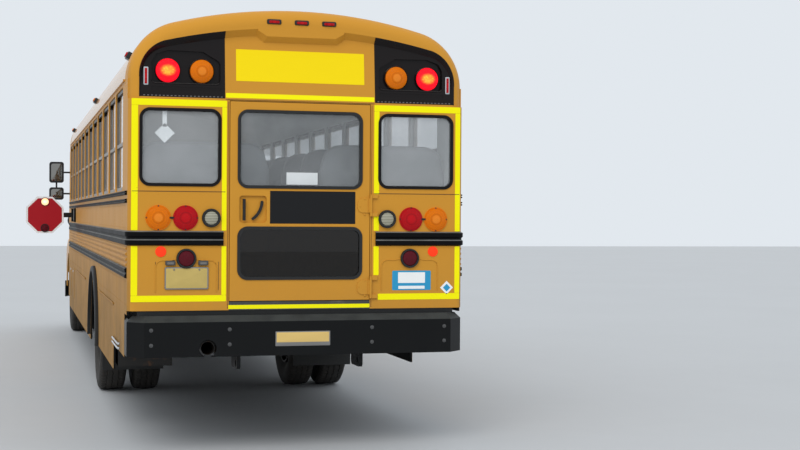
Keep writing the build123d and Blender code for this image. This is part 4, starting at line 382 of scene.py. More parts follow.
def body_sheets(t, look):
    """Upright laps between the side sheets and over the roof, road spray that thins out up the
    skirts and doubles as painted shade and a painted brown reflection of the ground, and black
    undercoat behind them, which also serves as painted shade under the body."""
    x, y, z = t.axes()
    out = abs(x - CENTRE)
    side = (out > HALF - 0.003) * (z < 1.86)
    roof = (z > EAVE + 0.02) * ((y < REAR - 0.31) * (y > BODY_FRONT + 0.17))
    step = t.math("PINGPONG", y + 20.0, WINDOW_PITCH / 2)
    lap = (step < 0.003) * side.at_least(roof)
    # Road spray thinning upwards, also painted shade and a painted brown reflection of the ground
    spray_and_shade = ((out > HALF - 0.02) * t.ramp(z, 0.5, 1.9, 0.78, 0.12)
             * t.ramp(t.noise(2.4, 5, 0.6), 0.25, 0.75, 0.55, 1.0))
    color = t.mix(spray_and_shade, t.mix(lap * 0.6, look.color, LAP_SHADE), ROAD_SPRAY_AND_SHADE)
    # Black behind the side sheets below SKIRT and on their edges: undercoat, and painted shade
    # under the body
    look.color = t.mix((out < HALF - 0.0015) * (z < SKIRT), color, UNDERCOAT_AND_SHADE)
    look.rough += spray_and_shade * 0.3


def painted_head_shade(t, look):
    """Painted shade along the head of each window: black, where the head's shadow falls."""
    look.color = t.mix(t.axes()[2] > WINDOW_HEAD, look.color, (0.012, 0.010, 0.009))


def sheen_and_dust_on_tops(color):
    """Painted highlight, with some pale dust, on what faces up: it grows with the upward share of
    the surface's direction.
    """
    def lighten_tops(t, look):
        up = t.axes(t.get("NewGeometry", "Normal"))[2]
        # Painted highlight with some dust: upward faces are lightened towards the given colour
        dust = t.ramp(up, 0.2, 0.85) * t.ramp(t.noise(7.0, 4), 0.2, 0.7, 0.45, 0.8)
        look.color = t.mix(dust, look.color, color)
        look.rough += dust * 0.2
    return lighten_tops


def tyre_grain(t, look):
    """Fine scuffs with a browner film."""
    scuff = t.ramp(t.noise(35.0, 4), 0.5, 0.8, 0.0, 0.35)
    look.color = t.mix(scuff, look.color, (0.09, 0.08, 0.07))


def vinyl_grain(t, look):
    """Pebbled grain of coated seat cloth."""
    look.height = t.cells(420.0) * 2.0 + look.height * 0.3


def floor_ribs(t, look):
    """Lengthwise ribs of the aisle's rubber, with scuffs."""
    scuff = t.ramp(t.noise(8.0, 5), 0.5, 0.75, 0.0, 0.5)
    look.color = t.mix(scuff, look.color, (0.22, 0.20, 0.17))
    look.height = t.wave(t.axes()[0], 500.0) + look.height


def flutes(t, look):
    """Upright flutes with a crossing row of prisms, as moulded into headlamp glass."""
    x, _, z = t.axes()
    look.height = t.wave(x, 520.0) + t.wave(z, 130.0) * 0.6


def black_arm(t, look):
    """Black from the hinge to the sign's edge."""
    look.color = t.mix(t.axes()[0] - CENTRE < ARM_END, look.color, (0.010, 0.010, 0.010))


def rust_bloom(t, look):
    """Rust in patches on bare and galvanised steel."""
    rust = t.ramp(t.noise(14.0, 6, 0.65), 0.52, 0.72, 0.0, 0.6)
    look.color = t.mix(rust, look.color, (0.20, 0.09, 0.04))
    look.rough += rust * 0.3


def tape_cells(t, look):
    """The sealed honeycomb of reflective sheet."""
    edge = t.ramp(t.cells(260.0), 0.0, 0.06, 0.22, 0.0)
    look.color = t.mix(edge, look.color, (0.75, 0.62, 0.02))


YELLOW, RED, LINING = (0.60, 0.275, 0.030), (0.42, 0.008, 0.016), (0.56, 0.57, 0.56)
TAN_FILM, GREY_FILM, BROWN_FILM = (0.25, 0.165, 0.075), (0.09, 0.08, 0.07), (0.12, 0.10, 0.08)
BODY = {"patches": (1.2, 0.10), "dust": (1.5, 0.42), "film": TAN_FILM, "lining": LINING,
        "extra": body_sheets}
TAPE_SHEET = {"extra": tape_cells, "gloss": 0.15}

# name, colour, least and most roughness, then the skin's scale and its bump
finish("yellow_paint", YELLOW, 0.36, 0.48, 180, 0.05, gloss=0.16, **BODY)
finish("roof_paint", YELLOW, 0.30, 0.42, 180, 0.03, gloss=0.3, coat=0.75, **BODY)
finish("hood_paint", YELLOW, 0.26, 0.36, 180, 0.05, gloss=0.3, coat=0.15, patches=(1.2, 0.08),
       dust=(1.3, 0.35), film=TAN_FILM)
# The blacks below get a painted highlight, with some pale dust, on their upward faces
finish("black_paint", (0.005, 0.0055, 0.006), 0.26, 0.42, 140, 0.08, gloss=0.14,
       dust=(1.1, 0.08), film=(0.07, 0.066, 0.06), extra=sheen_and_dust_on_tops((0.060, 0.064, 0.062)))
finish("rail_black", (0.004, 0.004, 0.0045), 0.42, 0.56, 140, 0.08, gloss=0.08,
       extra=sheen_and_dust_on_tops((0.22, 0.22, 0.21)))
finish("pod_black", (0.009, 0.0065, 0.0065), 0.14, 0.24, 200, 0.06, gloss=0.18,
       extra=sheen_and_dust_on_tops((0.10, 0.095, 0.09)))
finish("chassis_black", (0.010, 0.010, 0.010), 0.5, 0.75, 90, 0.3, dust=(1.4, 0.3),
       film=GREY_FILM, extra=rust_bloom)
finish("black_rubber", (0.010, 0.010, 0.010), 0.45, 0.65, 400, 0.2, dust=(1.0, 0.25),
       film=(0.09, 0.085, 0.075))
finish("seal_rubber", (0.007, 0.006, 0.006), 0.3, 0.45, 400, 0.1, gloss=0.16)
# window_frame: the metal's dark brown-grey colour is a painted reflection of the ground; its black
# head is painted shade
finish("window_frame", (0.23, 0.20, 0.17), 0.30, 0.45, 300, 0.06, metal=0.75,
       patches=(9.0, 0.4), extra=painted_head_shade)
finish("wheel_paint", (0.018, 0.018, 0.018), 0.35, 0.6, 120, dust=(1.2, 0.5), film=BROWN_FILM)
finish("tyre_rubber", (0.012, 0.0115, 0.011), 0.6, 0.85, 220, 0.3, dust=(1.3, 0.35),
       film=BROWN_FILM, extra=tyre_grain)
finish("seat_vinyl", (0.15, 0.16, 0.165), 0.38, 0.55, 60, 0.25, depth=0.0008,
       patches=(6.0, 0.25), extra=vinyl_grain)
finish("seat_seam", (0.06, 0.063, 0.068), 0.4, 0.6, 500, 0.3)
finish("floor_rubber", (0.05, 0.05, 0.05), 0.55, 0.8, 200, 0.3, extra=floor_ribs)
finish("dash_plastic", (0.03, 0.03, 0.033), 0.45, 0.6, 500, 0.35)
finish("grille_black", (0.012, 0.012, 0.012), 0.35, 0.55, 300, 0.2)
finish("galvanised", (0.22, 0.22, 0.215), 0.35, 0.6, 40, 0.1, metal=0.6, patches=(18.0, 0.35),
       dust=(1.0, 0.5), extra=rust_bloom)
finish("pipe_steel", (0.022, 0.020, 0.018), 0.4, 0.65, 60, 0.2, metal=0.3, extra=rust_bloom)
finish("tank_paint", (0.014, 0.014, 0.014), 0.35, 0.55, 150, 0.1, dust=(1.3, 0.4))
finish("engine_iron", (0.06, 0.06, 0.065), 0.5, 0.75, 60, 0.5, metal=0.4, dust=(1.6, 0.4),
       extra=rust_bloom)
finish("mirror_shell", (0.008, 0.008, 0.009), 0.25, 0.4, 350)
# mirror_glass: a painted reflection; the mirror's colour is darkened and browned for the scene it
# reflects
finish("mirror_glass", (0.26, 0.25, 0.23), 0.04, 0.09, bump=0.0, metal=1.0)
finish("chrome", (0.62, 0.63, 0.64), 0.12, 0.24, 200, 0.03, metal=1.0)
finish("bolt_steel", (0.30, 0.29, 0.28), 0.3, 0.5, 300, 0.1, metal=0.9)
finish("lemon_tape", (0.98, 0.90, 0.0), 0.35, 0.48, 200, 0.03, patches=(3.0, 0.04), **TAPE_SHEET)
finish("gold_tape", (0.96, 0.71, 0.002), 0.35, 0.48, 200, 0.03, patches=(3.0, 0.05), **TAPE_SHEET)
finish("sign_red", RED, 0.35, 0.5, 200, 0.03, gloss=0.25)
finish("sign_plate", RED, 0.35, 0.5, 200, 0.03, gloss=0.25, extra=black_arm)
finish("sheet_white", (0.88, 0.89, 0.88), 0.35, 0.5, bump=0.03, patches=(8.0, 0.06))
finish("sheet_black", (0.007, 0.007, 0.008), 0.35, 0.5, bump=0.03, gloss=0.25)
finish("sheet_blue", (0.025, 0.30, 0.54), 0.35, 0.5, bump=0.03, gloss=0.25)
finish("plate_cream", (0.54, 0.40, 0.125), 0.4, 0.55, bump=0.04, gloss=0.25, patches=(14, 0.18))
finish("headlamp_glass", (0.48, 0.50, 0.51), 0.06, 0.12, bump=0.8, depth=0.002, metal=0.55,
       coat=0.4, extra=flutes)
finish("worn_black", (0.075, 0.075, 0.075), 0.35, 0.5, bump=0.1, metal=0.3, patches=(60.0, 0.5))
finish("clip_grey", (0.16, 0.15, 0.14), 0.4, 0.55, bump=0.04)
finish("badge_gold", (0.72, 0.50, 0.17), 0.4, 0.55, bump=0.04, gloss=0.25)
finish("joint_dark", (0.10, 0.045, 0.012), 0.5, 0.7, bump=0.05)
# A painted glow: the reflector is no lamp, yet it emits red light for its bright reflection
finish("reflex_red_painted_glow", (0.95, 0.045, 0.006), 0.3, 0.4, 700, 0.2, gloss=0.25,
       Emission_Color=(1.0, 0.03, 0.004), Emission_Strength=0.25)
finish("pale_floor", (0.52, 0.53, 0.54), 0.7, 0.9, 20, 0.05, patches=(0.4, 0.06))

BROWN_TINT, HEAD_SHADOW = (0.034, 0.021, 0.010), (0.035, 0.030, 0.026)


def glass(name, clean, film, through, gloss=0.5, low=None, head=None):
    """Window glass under a grey film of dust that thickens in patches.

    through is the share of light that goes through.  Below low metres the pane is tinted brown,
    and above head metres it is darkened by a painted shadow of the window's head."""
    t, shader = new_finish(name)
    smear = t.noise(2.6, 5, 0.6)
    color = t.mix(t.ramp(smear, 0.3, 0.75), clean, film)
    high = t.axes()[2]
    if low:
        color = t.mix(high < low, color, BROWN_TINT)
    # Painted shadow of the window's head along the top of the pane
    if head:
        color = t.mix(high > head, color, HEAD_SHADOW)
    t.fill(shader, Base_Color=color, Roughness=t.ramp(smear, 0.3, 0.9, 0.0, 0.05),
           Transmission_Weight=through, IOR=1.45, Specular_IOR_Level=gloss)
    clear = t.get("BsdfTransparent", Color=[c**0.5 for c in clean])
    path = t.add("LightPath").outputs
    shadow, diffuse = (Value(t, path[f"Is {kind} Ray"]) for kind in ("Shadow", "Diffuse"))
    blend = t.add("MixShader", Fac=shadow.at_least(diffuse))
    t.feed(blend.inputs[1], Value(t, t.tree.nodes["Principled BSDF"].outputs[0]))
    t.feed(blend.inputs[2], clear)
    t.fill(t.tree.nodes["Material Output"].inputs, Surface=Value(t, blend.outputs[0]))


def lens(name, color, deep, rings=90.0, cells=110.0, lined=False, eye=None, lit=None):
    """Moulded lens: saturated colour that darkens between its prisms.  lined gives it level
    flutes in place of rings, eye is the paler colour of its centre, with a dark groove round
    it, and lit is the outer and the middle colour of its glow, and its strength."""
    t, shader = new_finish(name)
    face = t.use(RINGS, Rings=rings, Cells=cells)
    radius, relief = face["Radius"], face["Height"]
    if lined:
        relief = t.wave(t.axes(t.face_map())[1], 28.0)
    base = t.mix(t.ramp(relief, -1.0, 1.0), deep, color)
    if eye:
        base = t.mix(t.ramp(radius, 0.40, 0.26, 0.0, 0.5), base, eye)
        groove = t.ramp(radius, 0.36, 0.42) * t.ramp(radius, 0.52, 0.45)
        base = t.mix(groove * 0.45, base, deep)
    t.fill(shader, Base_Color=base, Roughness=t.ramp(t.noise(30.0, 3), 0.3, 0.8, 0.10, 0.22),
           Normal=t.bump(relief, 0.35, 0.0015), Specular_IOR_Level=0.16)
    if lit:
        outer, middle, strength = lit
        oval = t.get("Mapping", Vector=t.face_map(), Scale=(1.0, 1.35, 1.0),
                     Rotation=(0, 0, 0.35))
        far = t.get("VectorMath", "Value", {"operation": "LENGTH"}, Vector=oval)
        ribs = t.get("TexVoronoi", "Distance", Scale=5.0, Vector=oval)
        glow = t.ramp(far, 0.25, 0.75, 1.0, 0.0) * t.ramp(ribs, 0.0, 0.8, 1.0, 0.45)
        t.fill(shader, Emission_Color=t.mix(glow, outer, middle), Emission_Strength=strength)


glass("window_glass", (0.80, 0.82, 0.83), (0.93, 0.94, 0.95), 0.85, head=WINDOW_HEAD)
glass("door_glass", (0.68, 0.70, 0.71), (0.88, 0.90, 0.91), 0.91, 0.35, low=1.75)
lens("red_lens", (0.60, 0.005, 0.009), (0.26, 0.002, 0.005), eye=(0.60, 0.006, 0.011))
lens("dark_red_lens", (0.13, 0.006, 0.014), (0.06, 0.003, 0.007), 60, 150)
lens("amber_lens", (0.90, 0.22, 0.0), (0.52, 0.10, 0.0), eye=(0.93, 0.31, 0.035))
lens("clear_lens", (0.48, 0.46, 0.36), (0.20, 0.19, 0.14), lined=True)
lens("lit_red_lens", (0.80, 0.006, 0.012), (0.35, 0.002, 0.004), 50, 60,
     lit=((0.70, 0.002, 0.012), (1.0, 0.62, 0.05), 1.25))
lens("lit_lamp", (0.9, 0.5, 0.3), (0.6, 0.25, 0.15), 50, 60,
     lit=((1.0, 0.55, 0.30), (1.0, 0.95, 0.80), 1.3))

for finish_name, nodes in {
        "roof_paint": "roof",
        "yellow_paint": "left_wall right_wall rear_cap rear_panels front_cap cowl rear_door "
                        "rear_locker_door front_locker_door front_hatch rear_hatch",
        "hood_paint": "hood entrance_door_front entrance_door_rear",
        "black_paint": "rear_bumper front_bumper stop_arm_base", "rail_black": "rub_rails",
        "chassis_black": "chassis_frame front_axle rear_axle leaf_springs left_knuckle "
                         "right_knuckle tie_rod",
        "window_frame": "window_frames", "black_rubber": "mud_guards rear_door_fittings",
        "seal_rubber": "window_seals", "pod_black": "lamp_pods",
        "wheel_paint": "left_front_wheel right_front_wheel left_rear_wheels right_rear_wheels",
        "floor_rubber": "floor step_well", "dash_plastic": "dashboard", "grille_black": "grille",
        "galvanised": "seat_frames", "pipe_steel": "exhaust lockers", "tank_paint": "fuel_tank",
        "engine_iron": "engine", "mirror_shell": "side_mirrors crossview_mirrors",
        "window_glass": "window_glass entrance_front_glass entrance_rear_glass",
        "door_glass": "rear_door_glass", "headlamp_glass": "headlamps",
        "sign_plate": "stop_sign"}.items():
    for node in nodes.split():
        for material_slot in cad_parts[node].material_slots:
            material_slot.material = FINISHES[finish_name]


# ---------------- shapes
# A shape is an array of points (u, v, w) and a list of groups of faces.

ROUND = 40                 # corners of a turned piece


def circle(radius, count):
    """Points of a circle, anticlockwise."""
    turn = np.linspace(0, 2 * np.pi, count, endpoint=False)
    return np.stack((radius * np.cos(turn), radius * np.sin(turn)), 1)


def rounded(width, height, radius, steps=6):
    """A rectangle whose corners are arcs: each corner's centre plus radius times a unit circle."""
    radius = max(min(radius, width / 2 - 1e-5, height / 2 - 1e-5), 1e-5)
    turn = np.linspace(0, np.pi / 2, steps + 1)
    arc = radius * np.stack((np.cos(turn), np.sin(turn)), 1)
    spin = [np.array(((c, s), (-s, c))) for c, s in ((1, 0), (0, 1), (-1, 0), (0, -1))]
    centres = np.array(((1, 1), (-1, 1), (-1, -1), (1, -1))) * (width / 2 - radius,
                                                                height / 2 - radius)
    return np.concatenate([arc @ m + c for m, c in zip(spin, centres)])


def polygon(count, across, turn=0.0):
    """A regular polygon, given across its flats."""
    return circle(across / 2 / math.cos(math.pi / count), count) @ np.array(
        ((math.cos(turn), math.sin(turn)), (-math.sin(turn), math.cos(turn))))


def grow(outline, amount):
    """An outline scaled about its middle so that its half size changes by amount each way."""
    middle = (outline.min(0) + outline.max(0)) / 2
    half = (outline.max(0) - outline.min(0)) / 2
    return (outline - middle) * ((half + amount) / half) + middle


def level(outline, height):
    """An outline's points at a height."""
    return np.column_stack((outline, np.full(len(outline), height)))


def quads(rows, columns, closed=True, turned=False):
    """Faces between neighbours on a grid of points, row by row, whose columns close on
    themselves; closed joins the last row to the first, and turned faces the other way."""
    i, k = np.meshgrid(np.arange(rows if closed else rows - 1), np.arange(columns), indexing="ij")
    j, m = (i + 1) % rows * columns, (k + 1) % columns
    i = i * columns
    corners = (i + k, i + m, j + m, j + k) if turned else (i + k, j + k, j + m, i + m)
    return np.stack(corners, 2).reshape(-1, 4).tolist()


def stack(rings, heights):
    """Walls between outlines of equal count at their heights, closed by a fan at both ends."""
    n, count = len(rings[0]), len(rings)
    layers = [level(outline, height) for outline, height in zip(rings, heights)]
    middles = [layers[k].mean(0)[None] for k in (0, -1)]
    i, last = np.arange(n), (count - 1) * n
    j = (i + 1) % n
    back = np.stack((j, i, np.full(n, count * n)), 1)
    front = np.stack((i + last, j + last, np.full(n, count * n + 1)), 1)
    return np.concatenate(layers + middles), [quads(count, n, False, True), back.tolist(),
                                              front.tolist()]


def slab(outline, thick, edge=0.0):
    """A flat piece with its front edge rounded off: straight wall, then a quarter turn inwards."""
    if not edge:
        return stack((outline, outline), (0, thick))
    turn = np.linspace(0, np.pi / 2, 4)
    rings = [outline] + [grow(outline, -edge * (1 - math.cos(a))) for a in turn]
    return stack(rings, [0] + [thick - edge + edge * math.sin(a) for a in turn])


def plate(width, height, corner, thick, edge=0.0):
    """A slab with rounded corners, which are finer where its edge is rounded off too."""
    return slab(rounded(width, height, corner, 6 if edge else 2), thick, edge)


def dish(profile, count=ROUND):
    """A turned piece: circles of the profile's radii at its heights."""
    return stack([circle(max(r, 1e-4), count) for r, _ in profile], [h for _, h in profile])


def domed(radius, depth, dome, rim=0.0):
    """A lens: wall, a small flange step, then a shallow dome whose height falls with the square
    of the distance from the middle."""
    inner = radius - 0.004 - rim
    return dish([(radius, 0.0), (radius, depth * 0.5), (radius - 0.002, depth * 0.55),
                 (inner + 0.002, depth * 0.55), (inner, depth * 0.8)]
                + [(inner * s, depth * 0.8 + (dome + depth * 0.2) * (1 - s * s))
                   for s in (0.94, 0.82, 0.66, 0.48, 0.3, 0.12, 0.0)])


def ring(inner, outer, thick, crown=0.35):
    """A round hoop: its section's half circle swings from the inner wall over the top, which is
    arched by the crown's share of its thickness, to the outer wall."""
    turn = np.linspace(0, np.pi, 9)
    top = thick * (1 - crown + crown * np.sin(turn))
    radii = (inner + outer) / 2 - (outer - inner) / 2 * np.cos(turn)
    radii, heights = np.array([inner, *radii, outer]), np.array([0, *top, 0])
    unit = circle(1.0, ROUND)
    points = np.stack((np.outer(unit[:, 0], radii), np.outer(unit[:, 1], radii),
                       np.tile(heights, (ROUND, 1))), 2)
    return points.reshape(-1, 3), [quads(ROUND, len(radii), turned=True)]


def hoop(inner, outer, thick):
    """A flat frame between two outlines of equal count: inner wall, front, outer wall and back."""
    points = np.concatenate((level(inner, 0), level(inner, thick), level(outer, thick),
                             level(outer, 0)))
    return points, [quads(4, len(inner))]


def tube(path, radius, count=12):
    """A round bar along a path: a circle square to the path's direction at each of its points."""
    along = np.gradient(path, axis=0)
    along /= np.linalg.norm(along, axis=1)[:, None]
    steep = np.abs(along[:, 2:3]) > 0.9
    side = np.cross(along, np.where(steep, (1.0, 0, 0), (0, 0, 1.0)))
    side /= np.linalg.norm(side, axis=1)[:, None]
    up = np.cross(side, along)
    spot = circle(radius, count)
    points = path[:, None] + spot[:, :1] * side[:, None] + spot[:, 1:] * up[:, None]
    end = np.arange(count)
    ends = [end.tolist(), (end[::-1] + (len(path) - 1) * count).tolist()]
    return points.reshape(-1, 3), [quads(len(path), count, False), ends]


def bar_path(points):
    """A bent bar's path: straight runs, with each inner corner rounded by a parabola over a third
    of its shorter run."""
    points = np.asarray(points, float)
    path, s = [points[0]], np.linspace(0, 1, 8)[:, None]
    for before, corner, after in zip(points[:-2], points[1:-1], points[2:]):
        ways = before - corner, after - corner
        reach = min(np.linalg.norm(way) for way in ways) / 3
        start, end = (corner + way / np.linalg.norm(way) * reach for way in ways)
        path += list((1 - s) ** 2 * start + 2 * s * (1 - s) * corner + s**2 * end)
    return np.array(path + [points[-1]])


def row(along, up):
    """Places in a row: one of the two is a list of values, the other is the same for all."""
    return np.column_stack(np.broadcast_arrays(along, up))


def dots(places, radius, height, count=8):
    """Rivet heads: low domes of two rings and a top point at many places (u, v)."""
    places = np.asarray(places, float)
    one = np.concatenate((level(circle(radius, count), 0),
                          level(circle(radius * 0.72, count), height * 0.7), ((0, 0, height),)))
    i = np.arange(count)
    j = (i + 1) % count
    walls = np.stack((i, j, j + count, i + count), 1)
    tops = np.stack((i + count, j + count, np.full(count, 2 * count)), 1)
    shift = (np.arange(len(places)) * len(one))[:, None, None]
    return ((one + level(places, 0)[:, None]).reshape(-1, 3),
            [(part + shift).reshape(-1, part.shape[1]).tolist() for part in (walls, tops)])


SIDES = {                  # for each side of the bus: the directions of u, v and outward w
    "rear": ((-1, 0, 0), (0, 0, 1), (0, 1, 0)), "front": ((1, 0, 0), (0, 0, 1), (0, -1, 0)),
    "left": ((0, 1, 0), (0, 0, 1), (1, 0, 0)), "right": ((0, -1, 0), (0, 0, 1), (-1, 0, 0)),
    "up": ((1, 0, 0), (0, 1, 0), (0, 0, 1)),
    "rear cap": ((-1, 0, 0), (0, -SINK, 1), (0, 1, SINK)),
    "front cap": ((1, 0, 0), (0, SINK_FRONT, 1), (0, -1, SINK_FRONT))}


class Piece:
    """Collects shapes and turns them into one mesh object in the shared frame."""

    def __init__(self):
        self.points, self.faces, self.maps, self.tags, self.count = [], [], [], [], 0

    def add(self, shape, centre=(0, 0, 0), side="up", tag=0):
        """Puts a shape with its w axis outward on a side, centred on a point of the bus; its
        tag is the number of its finish in the piece's list."""
        points, groups = shape
        basis = np.array(SIDES[side], float)
        basis /= np.linalg.norm(basis, axis=1)[:, None]
        self.points.append(points @ basis + centre)
        self.maps.append(points[:, :2] / np.abs(points[:, :2]).max())
        for group in groups:
            self.faces += [[k + self.count for k in face] for face in group]
            self.tags += [tag] * len(group)
        self.count += len(points)
        return self

    def both(self, shape, centre, side="rear", tag=0):
        """The same shape on both sides of the centreline."""
        self.add(shape, centre, side, tag)
        return self.add(shape, (-centre[0], *centre[1:]), side, tag)

    def sheet(self, left, right, low, high, corner=0.004, y=REAR):
        """A flat sheet on the rear face between two x and two z values."""
        return self.add(plate(right - left, high - low, corner, SHEET),
                        ((left + right) / 2, y + GAP, (low + high) / 2), "rear")

    def make(self, name, finishes, body="body", slot=None, smooth=35.0):
        """The finished object: mesh, face map, finishes and the body that it rides on."""
        points = np.concatenate(self.points)
        points[:, 0] += CENTRE
        mesh = bpy.data.meshes.new(name)
        mesh.from_pydata(points.tolist(), [], self.faces)
        for finish_name in finishes.split():
            mesh.materials.append(FINISHES[finish_name])
        mesh.polygons.foreach_set("material_index", np.array(self.tags, np.int32))
        face_map = mesh.uv_layers.new(name="face")
        corners = np.empty(len(mesh.loops), np.int32)
        mesh.loops.foreach_get("vertex_index", corners)
        flat = np.concatenate(self.maps)[corners].ravel()
        face_map.data.foreach_set("uv", flat.astype(np.float32))
        mesh.update()
        thing = put(name, mesh)
        mesh.shade_smooth()
        mesh.set_sharp_from_angle(angle=math.radians(smooth))
        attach(thing, body)
        return thing


# ---------------- reflective tape, blank sheets

SHEET, GAP = 0.0012, 0.0002        # a sheet's thickness, and how far it stands off the paint
ON_SHEET = REAR + 0.0015           # a second sheet on the first


def cap_face(z, front=False):
    """The y of a cap's leaning middle at a height."""
    if front:
        return NOSE + 0.0022 + SINK_FRONT * (z - 2.558)
    return REAR - 0.0018 - SINK * (z - 2.498)


tape = Piece()
for edges in (                     # left, right, low and high edge of each strip
        (0.533, 1.196, 2.452, 2.497), (1.151, 1.196, 1.582, 2.451), (1.151, 1.196, 1.128, 1.472),
        (0.533, 0.566, 1.582, 2.451), (0.533, 0.566, 1.128, 1.472), (0.533, 1.196, 1.083, 1.127),
        (-1.196, -0.540, 2.452, 2.497), (-0.579, -0.540, 1.850, 2.451),
        (-0.579, -0.540, 1.585, 1.688), (-0.579, -0.540, 1.262, 1.472),
        (-1.196, -1.158, 1.582, 2.451), (-1.196, -1.158, 1.128, 1.472),
        (-1.196, -0.574, 1.083, 1.127), (-0.512, 0.516, 1.028, 1.056)):
    tape.sheet(*edges)
tape.add(plate(1.080, 0.034, 0.004, SHEET), (0, cap_face(2.536), 2.536), "rear cap")
tape.make("reflective_tape", "lemon_tape", slot="yellow_paint")

panels, panel = Piece(), plate(0.934, 0.228, 0.004, SHEET)
panels.add(panel, (0, cap_face(2.754), 2.754), "rear cap")
panels.add(panel, (0, cap_face(2.790, True), 2.790), "front cap")
panels.make("blank_name_panels", "gold_tape", slot="yellow_paint")

Piece().sheet(-0.402, 0.222, 1.633, 1.866, 0.002).make(
    "door_black_sheet", "sheet_black", "rear_door", "black_paint")
Piece().sheet(-0.125, 0.102, 1.912, 1.999, 0.002, REAR - 0.0155).make(
    "window_sticker", "sheet_white", "rear_door")

stickers = Piece().sheet(-0.975, -0.682, 1.152, 1.294, 0.006)
for shape, x, y, z, tag in (
        (plate(0.205, 0.078, 0.002, SHEET), -0.8285, ON_SHEET, 1.243, 1),
        (plate(0.20, 0.022, 0.002, SHEET), -0.8285, ON_SHEET, 1.172, 1),
        (slab(polygon(4, 0.070), SHEET), -1.098, REAR + GAP, 1.168, 1),
        (slab(polygon(4, 0.040), SHEET), -1.098, ON_SHEET, 1.168, 0)):
    stickers.add(shape, (x, y, z), "rear", tag)
stickers.make("small_stickers", "sheet_blue sheet_white")

# The warning diamond hung inside the left rear window on its tape
hanger = Piece().add(slab(polygon(4, 0.098), 0.003), (0.966, REAR - 0.024, 2.262), "rear")
hanger.add(plate(0.030, 0.125, 0.004, 0.002), (0.966, REAR - 0.023, 2.368), "rear")
hanger.make("hung_diamond", "sheet_white")

# ---------------- lamps of the body

ROW_Z, STOP_Z = 1.670, 1.385       # the upper row of lamps, and the stop lamps below it
TURN_X, TAIL_X, REVERSE_X, STOP_X = 1.009, 0.820, 0.640, 0.813
BIG = (0.088, 0.016, 0.010, 0.008)         # a lens's radius, depth, dome and rim

for name, lens_name, slot, x, z, size in (
        ("turn_lenses", "amber_lens", "amber_lens", TURN_X, ROW_Z, BIG),
        ("tail_lenses", "red_lens", "red_lens", TAIL_X, ROW_Z, BIG),
        ("reverse_lenses", "clear_lens", "clear_lens", REVERSE_X, ROW_Z, (0.050, 0.018, 0.006)),
        ("stop_lenses", "dark_red_lens", "red_lens", STOP_X, STOP_Z, (0.056, 0.018, 0.004))):
    Piece().both(domed(*size), (x, REAR, z)).make(name, lens_name, slot=slot)
for node, name in (("red_lamps", "tail_lenses"), ("amber_lamps", "turn_lenses"),
                   ("clear_lamps", "reverse_lenses")):
    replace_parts(bpy.data.objects[name], node)

grommets = Piece().both(ring(0.049, 0.066, 0.022), (REVERSE_X, REAR, ROW_Z))
grommets.both(ring(0.055, 0.070, 0.020), (STOP_X, REAR, STOP_Z))
screws = dots(circle(BIG[0] - 0.006, 4), 0.006, 0.003)
for x in (TURN_X, TAIL_X):
    grommets.both(screws, (x, REAR + 0.0085, ROW_Z))
grommets.both(plate(0.036, 0.014, 0.003, 0.010, 0.002), ((TURN_X + TAIL_X) / 2, REAR, ROW_Z))
grommets.make("lamp_grommets", "black_rubber", slot="black_rubber")

BAY = 0.052                # floor of the lamp bays behind the caps' rims
LAMP_Z, RED_X, AMBER_X = 2.70, 0.946, 0.709
ENDS = (("rear", 1, REAR, 2.522), ("front", -1, NOSE, 2.582))  # cap, outward sign, face, light dashes' z
reds, ambers, collars, light_dashes, brow = (Piece() for _ in range(5))
for side, out, face, dash_z in ENDS:
    for lamps, x in ((reds, RED_X), (ambers, AMBER_X)):
        spot = (x, face - out * BAY, LAMP_Z)
        lamps.both(domed(0.084, 0.044, 0.012), spot, side)
        collars.both(ring(0.083, 0.089, 0.030, 0.5), spot, side)
    # A row of small light grey dashes along each pod's lower edge
    for x in np.arange(0.570, 1.110, 0.027):
        light_dashes.both(plate(0.013, 0.006, 0.002, 0.0018), (x, face - out * 0.0034, dash_z), side)
reds.make("red_warning_lenses", "lit_red_lens", slot="red_lens")
ambers.make("amber_warning_lenses", "amber_lens", slot="amber_lens")
collars.make("lens_collars", "pod_black")
light_dashes.make("pod_clips", "clip_grey", slot="black_plastic")

# Raised lip round the lower part of each bay, on the pod's sunk face
lips, bay = Piece(), rounded(0.482, 0.200, 0.028)
bay = bay[bay[:, 1] < -0.02]
bay = bay[np.argsort(bay[:, 0] + np.sign(bay[:, 0]) * bay[:, 1] * 1e-3)]
for front in (False, True):
    for sign_x in (1, -1):
        z = LAMP_Z + 0.008 + bay[:, 1]
        line = np.column_stack((sign_x * (0.819 + bay[:, 0]), cap_face(z, front), z))
        lips.add(tube(line, 0.0045, 8))
lips.make("pod_lips", "pod_black", slot="black_plastic")

# Red reflectors, whose finish has a painted glow
Piece().both(slab(circle(0.038, 28), 0.005, 0.002), (0.990, REAR, 1.434)).make(
    "rear_reflectors", "reflex_red_painted_glow", slot="red_lens")

# Identification lamps on the visor, and the upright chrome-rimmed markers on the pods
for tag, (side, out, face, _) in enumerate(ENDS):
    for x in (-0.2, 0.0, 0.2):
        y = face - out * 0.012
        brow.add(plate(0.104, 0.036, 0.010, 0.020, 0.006), (x, y, 3.068), side, 2)
        brow.add(plate(0.074, 0.019, 0.007, 0.006, 0.003), (x, y + out * 0.02, 3.066), side, tag)
for tag, (side, out, face, _) in enumerate(ENDS):
    y = face - out * 0.020
    brow.both(plate(0.034, 0.128, 0.006, 0.010, 0.003), (1.098, y, 2.656), side, 3)
    brow.both(plate(0.018, 0.108, 0.004, 0.004, 0.002), (1.098, y + out * 0.01, 2.656), side, tag)
brow.make("clearance_lamps", "red_lens amber_lens mirror_shell chrome", slot="red_lens")

# ---------------- plates and badge

